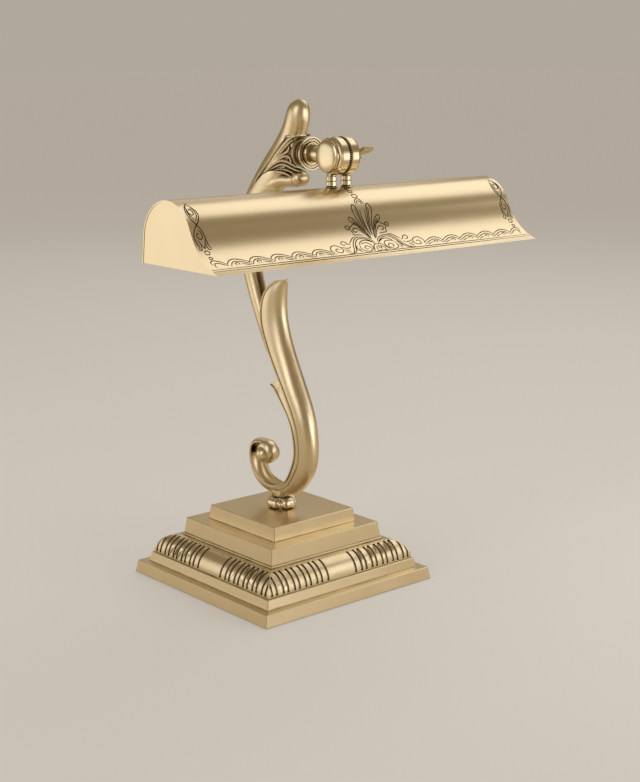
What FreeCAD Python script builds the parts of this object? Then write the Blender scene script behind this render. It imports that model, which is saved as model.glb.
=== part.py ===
import FreeCAD, Part
import math
import os

# Piano lamp: a stepped square base, a cast scroll arm and a long rolled brass shade
# that tilts on a friction swivel. Millimetres, +Z up, +X along the shade, -Y the front.
# The origin is the centre of the felt under the base.

vec = FreeCAD.Vector
os.makedirs("parts", exist_ok=True)

# Running and seating gaps
run_gap = 0.05
seat_gap = 0.3
fit_gap = 0.15

# Square base, from the table up: height of each tier, how far it steps in, and its draft
felt_thick = 2.0
cover_thick = 1.5
lining_gap = 0.5
rim_lift = 0.6
plinth_half_low = 100.0
plinth_top = 11.8
plinth_draft = 1.8
plinth_wall = 5.0
step_ledge = 7.9
step_height = 8.7
step_draft = 1.7
step_wall = 5.0
tier_roof = 3.5
edge_break = 0.6
ovolo_ledge = 1.9
ovolo_radius = 18.2
ovolo_wall = 3.5
bead_inset = 1.0
bead_height = 2.1
middle_inset = 1.5
middle_height = 14.6
middle_draft = 1.6
crown_ledge = 15.3
crown_height = 12.9
crown_draft = 1.2
tier_wall = 4.5

plinth_half_high = plinth_half_low - plinth_draft
lining_half = plinth_half_low - plinth_wall - lining_gap
step_top = plinth_top + step_height
step_half_low = plinth_half_high - step_ledge
step_half_high = step_half_low - step_draft
step_room = step_half_low - step_wall
ovolo_top = step_top + ovolo_radius
ovolo_half_low = step_half_high - ovolo_ledge
ovolo_half_high = ovolo_half_low - ovolo_radius
bead_half = ovolo_half_high - bead_inset
bead_top = ovolo_top + bead_height
middle_half_low = bead_half - middle_inset
middle_half_high = middle_half_low - middle_draft
middle_top = bead_top + middle_height
crown_half_low = middle_half_high - crown_ledge
crown_half_high = crown_half_low - crown_draft
crown_top = middle_top + crown_height

# Flutes of the quarter-round tier, in pairs each side of a plain panel
flute_panel_half = 16.8
flute_wide_pitch = 7.5
flute_narrow_pitch = 5.6
flute_edge = 1.0
flute_width = 2.5
flute_depth = 1.3
flute_low_margin = 1.3
flute_high_margin = 0.43
mitre_rib = 0.8

# Ballast, mains block, tie tube and base fasteners
ballast_low = 7.5
ballast_recess_radius = 14.0
ballast_recess_depth = 4.0
block_long = 30.0
block_deep = 12.0
block_tall = 10.0
block_hole = 1.6
block_hole_rise = 3.5
block_gap = 2.0
block_wall_gap = 1.3
tube_radius = 5.0
tube_bore = 3.5
tube_low = 5.0
washer_radius = 11.0
washer_thick = 1.5
nut_flats = 14.0
nut_height = 4.5
boss_inset = 5.3
boss_radius = 6.0
boss_roof_gap = 1.0
screw_radius = 2.0
screw_head_radius = 3.5
screw_length = 10.0
inlet_drop = 5.0
inlet_bore = 3.0
inlet_body = 4.0
inlet_flange = 4.7
inlet_flange_thick = 1.8

ballast_half = step_room - block_wall_gap - block_deep - block_gap
block_place_y = ballast_half + block_gap + block_deep / 2
boss_place = step_room - boss_inset
inlet_height = plinth_top - inlet_drop

# Knotted collar under the arm
collar_height = 10.0
collar_core_radius = 8.6
knot_ring = 9.3
knot_long = 7.5
bead_ring = 11.4
bead_radius = 2.6
collar_top = crown_top + collar_height

# Scroll castings: (y, height over the collar, half width, depth) down the crown of each trough
front_wall = 2.2
front_stations = [
    (-8.4, 204.1, 2.8, 3.6),
    (-7.4, 200.7, 6.6, 9.6),
    (-6.4, 195.2, 9.4, 14.2),
    (-5.6, 188.2, 11.0, 17.8),
    (-5.4, 178.7, 11.8, 20.0),
    (-7.0, 166.7, 12.0, 20.8),
    (-12.4, 149.2, 12.0, 18.5),
    (-20.4, 131.7, 12.0, 16.5),
    (-30.4, 111.7, 12.0, 14.0),
    (-40.2, 92.7, 11.5, 13.4),
    (-46.2, 75.2, 11.0, 12.6),
    (-49.3, 52.7, 10.2, 13.1),
    (-46.0, 33.2, 10.0, 13.0),
    (-35.0, 16.9, 9.8, 11.8),
    (-24.5, 7.9, 9.4, 9.8),
    (-14.5, 3.1, 9.0, 6.4),
]
back_wall = 2.3
back_stations = [
    (6.6, 108.3, 2.6, 1.6),
    (2.5, 104.3, 5.0, 2.6),
    (-6.5, 97.2, 6.6, 3.6),
    (-20.0, 86.7, 7.2, 6.0),
    (-32.5, 75.7, 7.3, 10.5),
    (-41.0, 65.2, 7.4, 15.5),
    (-46.0, 51.7, 7.4, 18.4),
    (-43.0, 33.7, 7.4, 18.2),
    (-32.6, 19.1, 7.4, 15.2),
    (-21.8, 10.1, 7.5, 11.6),
    (-10.0, 4.3, 7.8, 9.6),
    (2.0, 1.5, 8.2, 9.0),
    (14.0, 1.7, 8.4, 9.0),
    (24.6, 4.5, 8.5, 9.0),
    (33.0, 9.9, 8.5, 8.8),
    (39.0, 18.1, 8.5, 8.2),
    (42.4, 27.7, 8.4, 7.2),
    (42.8, 38.7, 8.0, 5.6),
    (38.6, 48.5, 7.4, 4.2),
    (29.5, 53.9, 6.8, 3.2),
    (18.8, 52.7, 6.2, 2.6),
    (11.6, 44.7, 5.6, 2.2),
    (11.0, 34.7, 5.0, 1.9),
    (15.4, 27.7, 3.4, 1.6),
]
foot_radius = 7.6
foot_height = 8.2
tube_end_gap = 1.5
ball_place = (27.4, 35.4)
ball_radius = 8.8
ball_peg_radius = 3.2
foot_top = collar_top + foot_height

# Upper casting: (y, height over the collar, half width, half depth) up its centre line
upper_stations = [
    (-14.0, 106.7, 2.2, 2.0),
    (-11.5, 110.2, 4.6, 4.2),
    (-6.2, 116.7, 6.2, 5.6),
    (4.3, 131.7, 7.0, 6.6),
    (11.0, 141.7, 7.4, 7.0),
    (21.4, 162.7, 8.0, 7.9),
    (31.8, 186.2, 8.5, 8.4),
    (40.0, 208.7, 8.8, 8.8),
    (45.0, 230.7, 9.2, 9.4),
    (44.5, 249.7, 9.8, 10.2),
    (39.0, 265.2, 10.4, 11.6),
    (29.0, 279.2, 10.8, 14.0),
    (15.0, 293.2, 10.8, 17.0),
    (1.5, 308.2, 10.6, 17.0),
    (-11.0, 324.7, 10.2, 14.5),
    (-20.0, 338.7, 9.8, 12.0),
    (-25.5, 350.7, 9.4, 10.8),
    (-28.0, 360.2, 7.8, 8.4),
    (-28.2, 366.2, 4.6, 4.8),
    (-28.0, 368.5, 1.4, 1.6),
]
volute_stations = [
    (20.0, 281.7, 9.6, 7.0),
    (6.0, 292.7, 9.6, 8.0),
    (-8.0, 297.5, 9.4, 6.6),
    (-19.0, 298.1, 9.2, 5.4),
    (-28.0, 299.3, 9.0, 4.8),
]
volute_eye = (-32.2, 300.4)
volute_eye_radius = 5.4
volute_eye_half = 9.4
channel_half = 4.4
channel_depth = 6.5
channel_lead = 3.0
channel_low = 5
channel_high = 10
head_place = (-33.0, 321.7)
head_boss_radius = 12.0
head_boss_length = 24.0

# Screws that join the upper casting to the front scroll
joint_places = (0.36, 0.52)
joint_boss_radius = 4.5
boss_root = 0.85
joint_screw_radius = 2.0
joint_head_radius = 3.6
joint_head_seat = 3.0
joint_head_height = 2.5
joint_screw_end = 13.0
joint_hole_spare = 0.5

# Neck, and the turned cup on the head that it comes out of: (along, radius) round the cup
head_face_y = head_place[0]
cup_outside = [
    (0.0, 9.6), (1.6, 10.2), (3.0, 10.4), (5.0, 11.2),
    (7.4, 12.8), (9.4, 14.0), (10.6, 14.4), (11.6, 14.4),
]
cup_inside = [
    (11.6, 13.6), (10.4, 13.0), (10.4, 12.2), (11.2, 11.8), (11.2, 11.2),
    (10.4, 10.8), (10.4, 10.0), (12.2, 9.6), (12.2, 8.8), (13.2, 8.4),
]
neck_radius = 7.7
neck_thread_radius = 5.0
neck_thread_length = 16.0
neck_thread_spare = 1.5
neck_bore = 2.6
web_trim = 0.7

# Tilt swivel: axis along X
swivel_reach = 47.0
tilt_y = head_face_y - swivel_reach
tilt_z = collar_top + head_place[1]
ear_radius = 16.5
ear_outer = 12.0
ear_round = 3.5
ear_chamfer = 0.6
ear_hollow_radius = 9.0
ear_hollow_depth = 6.5
tongue_inset = 0.7
tongue_half = 1.4
tongue_radius = ear_radius - tongue_inset
pivot_radius = 3.0
pivot_gap = 0.08
pivot_end = 0.5
cap_inset = 2.4
cap_radius = ear_radius - cap_inset
cap_thick = 3.2
cap_rim = 0.4
wing_washer_radius = 7.5
wing_washer_thick = 1.0
wing_hub_radius = 5.6
wing_hub_length = 8.5
wing_reach = 13.5
wing_length = 15.0
wing_thick = 3.0
wing_angle = 152.0

# Rolled shade, hung below the tilt axis
shade_half = 181.3
shade_sheet = 1.0
crest_ahead = 0.6
crest_drop = 59.6
crest_radius = 32.9
lip_reach = 65.9
mouth_drop = 19.9
back_flare = 6.6
sweep_radius = 55.0
cap_sheet = 1.0
cap_recess = 0.4
cap_flange = 7.0
cap_mouth_gap = 0.5

crest_y = tilt_y - crest_ahead
crest_z = tilt_z - crest_drop
crest_top = crest_z + crest_radius
lip_y = crest_y - lip_reach
mouth_z = crest_z - mouth_drop

# Hollow posts that carry the shade: rings are (radius, height, rise of the top over the foot)
post_edge = 3.6
post_place = ear_outer - post_edge
post_radius = 3.7
post_spigot_radius = 2.9
post_spigot_lap = 1.0
post_shoulder_drop = 17.0
post_rings = [(4.7, 3.2, 5.0), (4.4, 3.0, 9.0), (4.3, 1.0, 11.2)]
post_foot_radius = 5.4
post_foot_height = 1.2
post_thread_radius = 3.0
post_bore = 1.8
post_thread_drop = 13.0
post_nut_flats = 10.0
post_nut_height = 3.0
post_washer_thick = 1.0
post_washer_radius = 5.6
sheet_curve_drop = 2.4

# Lampholders and tubular lamps
lamp_ahead = 3.4
lamp_rise = 1.6
bracket_width = 22.0
bracket_sheet = 1.5
bracket_nut_room = 2.33
bracket_lap = 11.0
holder_radius = 13.0
holder_wall = 2.0
holder_length = 46.0
holder_base = 16.0
holder_flare = [(0.0, 9.0), (8.0, 11.0), (12.0, 13.0)]
holder_neck_radius = 5.0
holder_bore = 2.5
holder_neck_length = 8.0
holder_nut_flats = 14.0
holder_nut_height = 3.0
bulb_radius = 12.0
bulb_length = 62.0
bulb_glass_gap = 0.3
bulb_pin_radius = 4.0
bulb_screw_radius = 7.0
bulb_screw_start = 3.0
bulb_screw_end = 24.0
bulb_flare = 3.0

lamp_y = crest_y - lamp_ahead
lamp_z = crest_z + lamp_rise
bracket_half = post_place + post_nut_flats / math.sqrt(3.0) + bracket_sheet + bracket_nut_room


def save(name, shape):
    shape.exportStep("parts/%s.step" % name)
    state = "ok" if shape.isValid() else "NOT VALID"
    print("%-20s solids %2d volume %10.1f %s" % (name, len(shape.Solids), shape.Volume, state))


def box(x0, y0, z0, x1, y1, z1):
    return Part.makeBox(x1 - x0, y1 - y0, z1 - z0, vec(x0, y0, z0))


def square_block(low, high, half_low, half_high):
    """Square tier with its top edges and corners lightly broken."""
    wires = []
    for half, z in ((half_low, low), (half_high, high - edge_break), (half_high - edge_break, high)):
        cut = half - edge_break
        corners = [vec(cut, -half, z), vec(half, -cut, z), vec(half, cut, z), vec(cut, half, z),
                   vec(-cut, half, z), vec(-half, cut, z), vec(-half, -cut, z), vec(-cut, -half, z)]
        wires.append(Part.makePolygon(corners + corners[:1]))
    return Part.makeLoft(wires, True, True)


def rod(radius, start, direction, length):
    return Part.makeCylinder(radius, length, start, direction)


def upright(radius, low, high, x=0.0, y=0.0):
    return rod(radius, vec(x, y, low), vec(0, 0, 1), high - low)


def hexagon(flats, low, height, x=0.0, y=0.0):
    corner = flats / math.sqrt(3.0)
    ring = [vec(x + corner * math.cos(math.radians(60 * k + 30)),
                y + corner * math.sin(math.radians(60 * k + 30)), low) for k in range(7)]
    return Part.Face(Part.makePolygon(ring)).extrude(vec(0, 0, height))


def turned(profile, origin, axis):
    """Turn (along, radius) points round an axis through the origin given."""
    side = vec(0, 0, 1) if abs(axis.z) < 0.5 else vec(1, 0, 0)
    points = [origin + axis * along + side * radius for along, radius in profile]
    face = Part.Face(Part.makePolygon(points + points[:1]))
    return face.revolve(origin, axis, 360)


def on_arm(place):
    """Point in the middle plane from (y, height over the collar)."""
    return vec(0, place[0], collar_top + place[1])


def station_line(stations):
    line = Part.BSplineCurve()
    line.interpolate([on_arm(s) for s in stations])
    return line


def station_frames(stations):
    """Each station's point on the smooth line, and the normal to the left of its run."""
    line = station_line(stations)
    frames = []
    for s in stations:
        tangent = line.tangent(line.parameter(on_arm(s)))[0]
        frames.append((on_arm(s), vec(0, -tangent.z, tangent.y)))
    return frames


def curve_edge(points):
    curve = Part.BSplineCurve()
    curve.interpolate(points)
    return curve.toShape()


def trough(stations, wall, steps=8):
    """Loft a half-oval trough; each station gives half width and depth from the crown."""
    wires = []
    for (_, _, half, depth), (point, normal) in zip(stations, station_frames(stations)):
        thin = min(wall, 0.45 * half, 0.6 * depth)
        outer = []
        inner = []
        for k in range(steps + 1):
            turn = math.pi * (k / steps - 0.5)
            outer.append(point + vec(half * math.sin(turn), 0, 0) + normal * (depth * (1 - math.cos(turn))))
            rise = thin + (depth - thin) * (1 - math.cos(turn))
            inner.append(point + vec((half - thin) * math.sin(turn), 0, 0) + normal * rise)
        inner.reverse()
        edges = [
            curve_edge(outer),
            Part.makeLine(outer[-1], inner[0]),
            curve_edge(inner),
            Part.makeLine(inner[-1], outer[0]),
        ]
        wires.append(Part.Wire(edges))
    return Part.makeLoft(wires, True, False)


def solid_trough(stations, steps=8):
    """The trough filled up to its rims."""
    wires = []
    for (_, _, half, depth), (point, normal) in zip(stations, station_frames(stations)):
        outer = []
        for k in range(steps + 1):
            turn = math.pi * (k / steps - 0.5)
            outer.append(point + vec(half * math.sin(turn), 0, 0) + normal * (depth * (1 - math.cos(turn))))
        wires.append(Part.Wire([curve_edge(outer), Part.makeLine(outer[-1], outer[0])]))
    return Part.makeLoft(wires, True, False)


def oval_bar(stations, steps=12):
    """Loft closed oval sections up a centre line."""
    wires = []
    for (_, _, half, deep), (point, normal) in zip(stations, station_frames(stations)):
        ring = []
        for k in range(steps):
            turn = 2 * math.pi * k / steps
            ring.append(point + vec(half * math.cos(turn), 0, 0) + normal * (deep * math.sin(turn)))
        curve = Part.BSplineCurve()
        curve.interpolate(Points=ring, PeriodicFlag=True)
        wires.append(Part.Wire([curve.toShape()]))
    return Part.makeLoft(wires, True, False)


# Base

def make_plinth():
    low = square_block(rim_lift, plinth_top, plinth_half_low, plinth_half_high)
    high = square_block(plinth_top, step_top, step_half_low, step_half_high)
    low_room = plinth_half_low - plinth_wall
    body = low.fuse(high)
    body = body.cut(box(-low_room, -low_room, 0, low_room, low_room, plinth_top - tier_roof))
    body = body.cut(box(-step_room, -step_room, 0, step_room, step_room, step_top - tier_roof))
    for x in (-boss_place, boss_place):
        for y in (-boss_place, boss_place):
            boss = upright(boss_radius, felt_thick + cover_thick, step_top - boss_roof_gap, x, y)
            hole = upright(screw_radius + run_gap, 0, felt_thick + screw_length + seat_gap, x, y)
            body = body.fuse(boss).cut(hole)
    outwards = vec(0, 1, 0)
    tail = rod(inlet_body + run_gap, vec(0, low_room - 1, inlet_height), outwards, plinth_wall + 2)
    spot = rod(inlet_flange + fit_gap, vec(0, plinth_half_high, inlet_height), outwards, plinth_draft + 1)
    tube_hole = upright(tube_radius + run_gap, 0, step_top + 1)
    return body.cut(tail).cut(spot).cut(tube_hole).removeSplitter()


def ovolo_profile(inset):
    """Quarter-round outline across the whole tier, inset from the outer face."""
    radius = ovolo_radius - inset
    slant = radius * math.sqrt(0.5)
    low = step_top
    half = ovolo_half_high
    edges = [
        Part.Arc(vec(0, half + radius, low), vec(0, half + slant, low + slant),
                 vec(0, half, low + radius)).toShape(),
        Part.makeLine(vec(0, half, low + radius), vec(0, -half, low + radius)),
        Part.Arc(vec(0, -half, low + radius), vec(0, -half - slant, low + slant),
                 vec(0, -half - radius, low)).toShape(),
        Part.makeLine(vec(0, -half - radius, low), vec(0, half + radius, low)),
    ]
    return Part.Face(Part.Wire(edges))


def long_ovolo(inset):
    reach = 2 * plinth_half_low
    long_x = ovolo_profile(inset).extrude(vec(reach, 0, 0))
    long_x.translate(vec(-reach / 2, 0, 0))
    return long_x


def mitred_ovolo(inset):
    long_x = long_ovolo(inset)
    long_y = long_x.copy()
    long_y.rotate(vec(0, 0, 0), vec(0, 0, 1), 90)
    return long_x.common(long_y)


def flute_places():
    places = []
    place = flute_panel_half
    while place < ovolo_half_low - flute_edge:
        places.append(place)
        place += flute_wide_pitch if len(places) % 2 == 1 else flute_narrow_pitch
    return places


def make_fluted_tier():
    body = mitred_ovolo(0.0).cut(mitred_ovolo(ovolo_wall))
    body = body.cut(upright(tube_radius + run_gap, step_top, ovolo_top + 1))
    side = plinth_half_low
    wedge = Part.Face(Part.makePolygon([
        vec(0, -mitre_rib, step_top), vec(-side, -side - mitre_rib, step_top),
        vec(side, -side - mitre_rib, step_top), vec(0, -mitre_rib, step_top),
    ])).extrude(vec(0, 0, ovolo_top - step_top + 2))
    slots = []
    for place in flute_places():
        for x in (-place, place):
            slots.append(box(x - flute_width / 2, -side, step_top + flute_low_margin,
                             x + flute_width / 2, -side / 2, ovolo_top - flute_high_margin))
    face_cut = Part.makeCompound(slots).common(wedge).cut(long_ovolo(flute_depth))
    for quarter in range(4):
        turned_cut = face_cut.copy()
        turned_cut.rotate(vec(0, 0, 0), vec(0, 0, 1), 90 * quarter)
        body = body.cut(turned_cut)
    return body


def make_middle_tier():
    bead = square_block(ovolo_top, bead_top, bead_half, bead_half)
    block = square_block(bead_top, middle_top, middle_half_low, middle_half_high)
    half = middle_half_high - tier_wall
    room = box(-half, -half, ovolo_top, half, half, middle_top - tier_roof)
    return bead.fuse(block).cut(room).cut(upright(tube_radius + run_gap, ovolo_top, middle_top + 1))


def make_crown_tier():
    block = square_block(middle_top, crown_top, crown_half_low, crown_half_high)
    half = crown_half_high - tier_wall
    room = box(-half, -half, middle_top, half, half, crown_top - tier_roof)
    return block.cut(room).cut(upright(tube_radius + run_gap, middle_top, crown_top + 1))


def make_ballast():
    top = step_top - tier_roof
    body = box(-ballast_half, -ballast_half, ballast_low, ballast_half, ballast_half, top)
    recess = upright(ballast_recess_radius, ballast_low, ballast_low + ballast_recess_depth)
    return body.cut(recess).cut(upright(tube_radius + run_gap, 0, top + 1))


def make_cover_plate():
    low = felt_thick
    high = felt_thick + cover_thick
    body = box(-lining_half, -lining_half, low, lining_half, lining_half, high)
    for x in (-boss_place, boss_place):
        for y in (-boss_place, boss_place):
            wide = screw_head_radius + run_gap
            body = body.cut(Part.makeCone(wide, screw_radius + run_gap, cover_thick, vec(x, y, low)))
    return body


def make_cover_screws():
    screws = []
    for x in (-boss_place, boss_place):
        for y in (-boss_place, boss_place):
            head = Part.makeCone(screw_head_radius, screw_radius, cover_thick, vec(x, y, felt_thick))
            shank = upright(screw_radius, felt_thick + cover_thick, felt_thick + screw_length, x, y)
            screws.append(head.fuse(shank).removeSplitter())
    return Part.makeCompound(screws)


def make_inlet_bushing():
    start = vec(0, plinth_half_low - plinth_wall, inlet_height)
    along = vec(0, 1, 0)
    length = plinth_half_high - start.y
    body = rod(inlet_body, start, along, length)
    flange = rod(inlet_flange, vec(0, plinth_half_high, inlet_height), along, inlet_flange_thick)
    bore = rod(inlet_bore, start, along, length + inlet_flange_thick)
    return body.fuse(flange).cut(bore).removeSplitter()


def make_terminal_block():
    low = felt_thick + cover_thick
    front = block_place_y - block_deep / 2
    body = box(-block_long / 2, front, low, block_long / 2, front + block_deep, low + block_tall)
    hole_low = low + block_hole_rise
    for x in (-block_long / 3, 0.0, block_long / 3):
        wire_way = rod(block_hole, vec(x, front, hole_low), vec(0, 1, 0), block_deep)
        body = body.cut(wire_way).cut(upright(block_hole, hole_low, low + block_tall, x, block_place_y))
    return body


def make_tie_tube():
    tube = upright(tube_radius, tube_low, foot_top - tube_end_gap)
    return tube.cut(upright(tube_bore, tube_low - 1, foot_top))


def make_tie_washer():
    low = ballast_low + ballast_recess_depth - washer_thick
    return upright(washer_radius, low, low + washer_thick).cut(upright(tube_radius + run_gap, 0, step_top))


def make_tie_nut():
    low = ballast_low + ballast_recess_depth - washer_thick - nut_height
    return hexagon(nut_flats, low, nut_height).cut(upright(tube_radius + run_gap, 0, step_top))


# Arm

def make_collar():
    mid = (crown_top + collar_top) / 2
    reach = (collar_top - crown_top) / 2 - run_gap
    side = knot_long - reach
    oval = Part.makeSphere(reach, vec(-side, 0, 0)).fuse(Part.makeSphere(reach, vec(side, 0, 0)))
    oval = oval.fuse(rod(reach, vec(-side, 0, 0), vec(1, 0, 0), 2 * side))
    body = upright(collar_core_radius, crown_top, collar_top)
    for k in range(4):
        knot = oval.copy()
        knot.translate(vec(0, knot_ring, mid))
        knot.rotate(vec(0, 0, 0), vec(0, 0, 1), 90 * k)
        bead = Part.makeSphere(bead_radius, vec(bead_ring, 0, mid))
        bead.rotate(vec(0, 0, 0), vec(0, 0, 1), 90 * k + 45)
        body = body.fuse(knot).fuse(bead)
    return body.cut(upright(tube_radius + run_gap, crown_top - 1, collar_top + 1))


def upper_joints():
    """Axis point and forward direction of each screw that joins the upper casting to the scroll."""
    line = station_line(upper_stations)
    low = line.parameter(on_arm(upper_stations[2]))
    high = line.parameter(on_arm(upper_stations[6]))
    joints = []
    for place in joint_places:
        t = low + (high - low) * place
        point = line.value(t)
        tangent = line.tangent(t)[0]
        front = vec(0, -tangent.z, tangent.y)
        if front.y > 0:
            front = front * -1
        joints.append((point, front))
    return joints


def skin_distance(solid, point, direction):
    """How far the outer skin of a solid lies from a point along a direction."""
    ray = Part.makeLine(point, point + direction * plinth_half_low).common(solid)
    return max((v.Point - point).dot(direction) for v in ray.Vertexes)


def make_front_scroll():
    body = trough(front_stations, front_wall)
    filled = solid_trough(front_stations)
    upper = oval_bar(upper_stations)
    for point, front in upper_joints():
        root = skin_distance(filled, point, front) - boss_root * front_wall
        start = skin_distance(upper, point, front) + seat_gap
        boss = rod(joint_boss_radius, point + front * start, front, root - start)
        hole = rod(joint_screw_radius + run_gap, point, front, joint_screw_end + joint_hole_spare)
        body = body.fuse(boss).cut(hole)
    return body


def make_back_scroll():
    body = trough(back_stations, back_wall)
    boss = upright(foot_radius, collar_top, foot_top)
    body = body.fuse(boss)
    return body.cut(upright(tube_radius + run_gap, collar_top - 1, foot_top))


def make_scroll_ball():
    """Ball on a short peg that seats against the inside of the back scroll."""
    middle = on_arm(ball_place)
    backwards = vec(0, 1, 0)
    reach = skin_distance(solid_trough(back_stations), middle, backwards) - back_wall / 2
    body = Part.makeSphere(ball_radius, middle).fuse(rod(ball_peg_radius, middle, backwards, reach))
    return body.cut(trough(back_stations, back_wall))


def make_upper_arm():
    body = oval_bar(upper_stations)
    volute = oval_bar(volute_stations)
    eye = rod(volute_eye_radius, on_arm(volute_eye) - vec(volute_eye_half, 0, 0), vec(1, 0, 0),
              2 * volute_eye_half)
    boss = rod(head_boss_radius, vec(0, head_face_y, tilt_z), vec(0, 1, 0), head_boss_length)
    body = body.fuse(volute).fuse(eye).fuse(boss)
    channel = []
    frames = station_frames(upper_stations)
    for index in range(channel_low, channel_high):
        point, normal = frames[index]
        deep = upper_stations[index][3]
        front = normal if normal.y < 0 else normal * -1
        near = point + front * (deep + channel_lead)
        far = point + front * (deep - channel_depth)
        side = vec(channel_half, 0, 0)
        channel.append(Part.makePolygon([near - side, near + side, far + side, far - side, near - side]))
    body = body.cut(Part.makeLoft(channel, True, False))
    thread_way = rod(neck_thread_radius + run_gap, vec(0, head_face_y - 1, tilt_z), vec(0, 1, 0),
                     neck_thread_length + neck_thread_spare + 1)
    body = body.cut(thread_way)
    for point, front in upper_joints():
        back = front * -1
        seat = point + back * joint_head_seat
        body = body.cut(rod(joint_screw_radius + run_gap, seat, front, joint_head_seat + joint_screw_end))
        body = body.cut(rod(joint_head_radius + run_gap, seat, back, joint_screw_end))
    return body


def make_joint_screws():
    screws = []
    for point, front in upper_joints():
        back = front * -1
        seat = point + back * joint_head_seat
        head = rod(joint_head_radius, seat, back, joint_head_height)
        shank = rod(joint_screw_radius, seat, front, joint_head_seat + joint_screw_end)
        screws.append(head.fuse(shank))
    return Part.makeCompound(screws)


def make_neck_collar():
    inner = neck_thread_radius + run_gap
    profile = [(0.0, inner)] + cup_outside + cup_inside + [(cup_inside[-1][0], inner)]
    return turned(profile, vec(0, head_face_y, tilt_z), vec(0, -1, 0))


def neck_back_y():
    return head_face_y - cup_inside[-1][0]


def make_neck():
    back = neck_back_y()
    front = tilt_y + ear_radius + seat_gap
    along = vec(0, -1, 0)
    body = rod(neck_radius, vec(0, back, tilt_z), along, back - front)
    tail_start = head_face_y + neck_thread_length
    tail = rod(neck_thread_radius, vec(0, tail_start, tilt_z), along, tail_start - back)
    tongue = rod(tongue_radius, vec(-tongue_half, tilt_y, tilt_z), vec(1, 0, 0), 2 * tongue_half)
    web_half = neck_radius - web_trim
    web_back = tilt_y + tongue_radius / 2
    web = box(-tongue_half, web_back, tilt_z - web_half, tongue_half, front, tilt_z + web_half)
    body = body.fuse(tail).fuse(tongue).fuse(web)
    pivot_low = vec(-tongue_half, tilt_y, tilt_z)
    pivot_way = rod(pivot_radius + pivot_gap, pivot_low, vec(1, 0, 0), 2 * tongue_half)
    wire_way = rod(neck_bore, vec(0, tail_start, tilt_z), along, tail_start - back + neck_radius)
    return body.cut(pivot_way).cut(wire_way).removeSplitter()


# Swivel ears, posts and screws

def make_ear(side):
    inner = tongue_half + fit_gap
    mouth = inner + ear_hollow_depth
    hole = pivot_radius + pivot_gap
    bevel = (1 - math.sqrt(0.5)) * ear_round
    profile = [
        (inner, ear_hollow_radius), (inner, ear_radius - ear_chamfer), (inner + ear_chamfer, ear_radius),
        (ear_outer - ear_round, ear_radius), (ear_outer - bevel, ear_radius - bevel),
        (ear_outer, ear_radius - ear_round), (ear_outer, hole), (mouth, hole), (mouth, ear_hollow_radius),
    ]
    body = turned(profile, vec(0, tilt_y, tilt_z), vec(side, 0, 0))
    socket = upright(post_spigot_radius + run_gap, tilt_z - ear_radius - 1, tilt_z - ear_hollow_radius,
                     side * post_place, tilt_y)
    return body.cut(socket)


def shade_points(inset):
    """Corner and arc points of the rolled section: back wall, crest and front sweep."""
    crest = vec(0, crest_y, crest_z)
    flare = math.radians(back_flare)
    out_back = vec(0, math.cos(flare), math.sin(flare))
    down_back = vec(0, math.sin(flare), -math.cos(flare))
    radius = crest_radius - inset
    back_top = crest + out_back * radius
    back_low = back_top + down_back * ((back_top.z - mouth_z) / math.cos(flare))
    reach = crest_radius + sweep_radius
    lip = vec(0, lip_y, mouth_z)
    # The sweep's centre lies at the reach from the crest's centre and one sweep radius from the lip.
    gap = lip - crest
    span = gap.Length
    share = (reach ** 2 - sweep_radius ** 2 + span ** 2) / (2 * span)
    height = math.sqrt(reach ** 2 - share ** 2)
    unit = gap * (1 / span)
    across = vec(0, -unit.z, unit.y)
    centres = [crest + unit * share + across * height * sign for sign in (-1, 1)]
    centre = max(centres, key=lambda p: p.z)
    toward = (centre - crest).normalize()
    meet = crest + toward * radius
    sweep = sweep_radius + inset
    lip_turn = math.atan2(lip.z - centre.z, lip.y - centre.y)
    drop = centre.z - mouth_z
    lip_y_inset = centre.y + math.sqrt(sweep ** 2 - drop ** 2) * (1 if lip.y > centre.y else -1)
    lip_inset = vec(0, lip_y_inset, mouth_z)
    meet_turn = math.atan2(meet.z - centre.z, meet.y - centre.y)
    mid_turn = (lip_turn + meet_turn) / 2
    sweep_mid = centre + vec(0, math.cos(mid_turn), math.sin(mid_turn)) * sweep
    crest_turn = (math.atan2(toward.z, toward.y) + flare) / 2
    crest_mid = crest + vec(0, math.cos(crest_turn), math.sin(crest_turn)) * radius
    return back_low, back_top, crest_mid, meet, sweep_mid, lip_inset


def shade_edges(inset):
    back_low, back_top, crest_mid, meet, sweep_mid, lip = shade_points(inset)
    return [
        Part.makeLine(back_low, back_top),
        Part.Arc(back_top, crest_mid, meet).toShape(),
        Part.Arc(meet, sweep_mid, lip).toShape(),
    ]


def shade_face(inset):
    edges = shade_edges(inset)
    edges.append(Part.makeLine(edges[-1].Vertexes[-1].Point, edges[0].Vertexes[0].Point))
    return Part.Face(Part.Wire(edges))


def shade_block(inset, x0, x1):
    block = shade_face(inset).extrude(vec(x1 - x0, 0, 0))
    block.translate(vec(x0, 0, 0))
    return block


def make_shade_shell():
    outer = shade_block(0.0, -shade_half, shade_half)
    inner = shade_block(shade_sheet, -shade_half - 1, shade_half + 1)
    shell = outer.cut(inner)
    for x in (-post_place, post_place):
        shell = shell.cut(upright(post_thread_radius + run_gap, mouth_z, tilt_z, x, tilt_y))
    return shell


def make_end_cap(side):
    skin = shade_sheet + run_gap
    face_x = shade_half - cap_recess
    plate = shade_block(skin, face_x - cap_sheet, face_x)
    rim = shade_block(skin, face_x - cap_flange, face_x - cap_sheet)
    rim = rim.cut(shade_block(skin + cap_sheet, face_x - cap_flange - 1, face_x))
    rim = rim.cut(box(0, lip_y, mouth_z, shade_half, crest_y + 2 * crest_radius, mouth_z + cap_mouth_gap))
    body = plate.fuse(rim)
    if side < 0:
        body = body.mirror(vec(0, 0, 0), vec(1, 0, 0))
    return body


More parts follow.
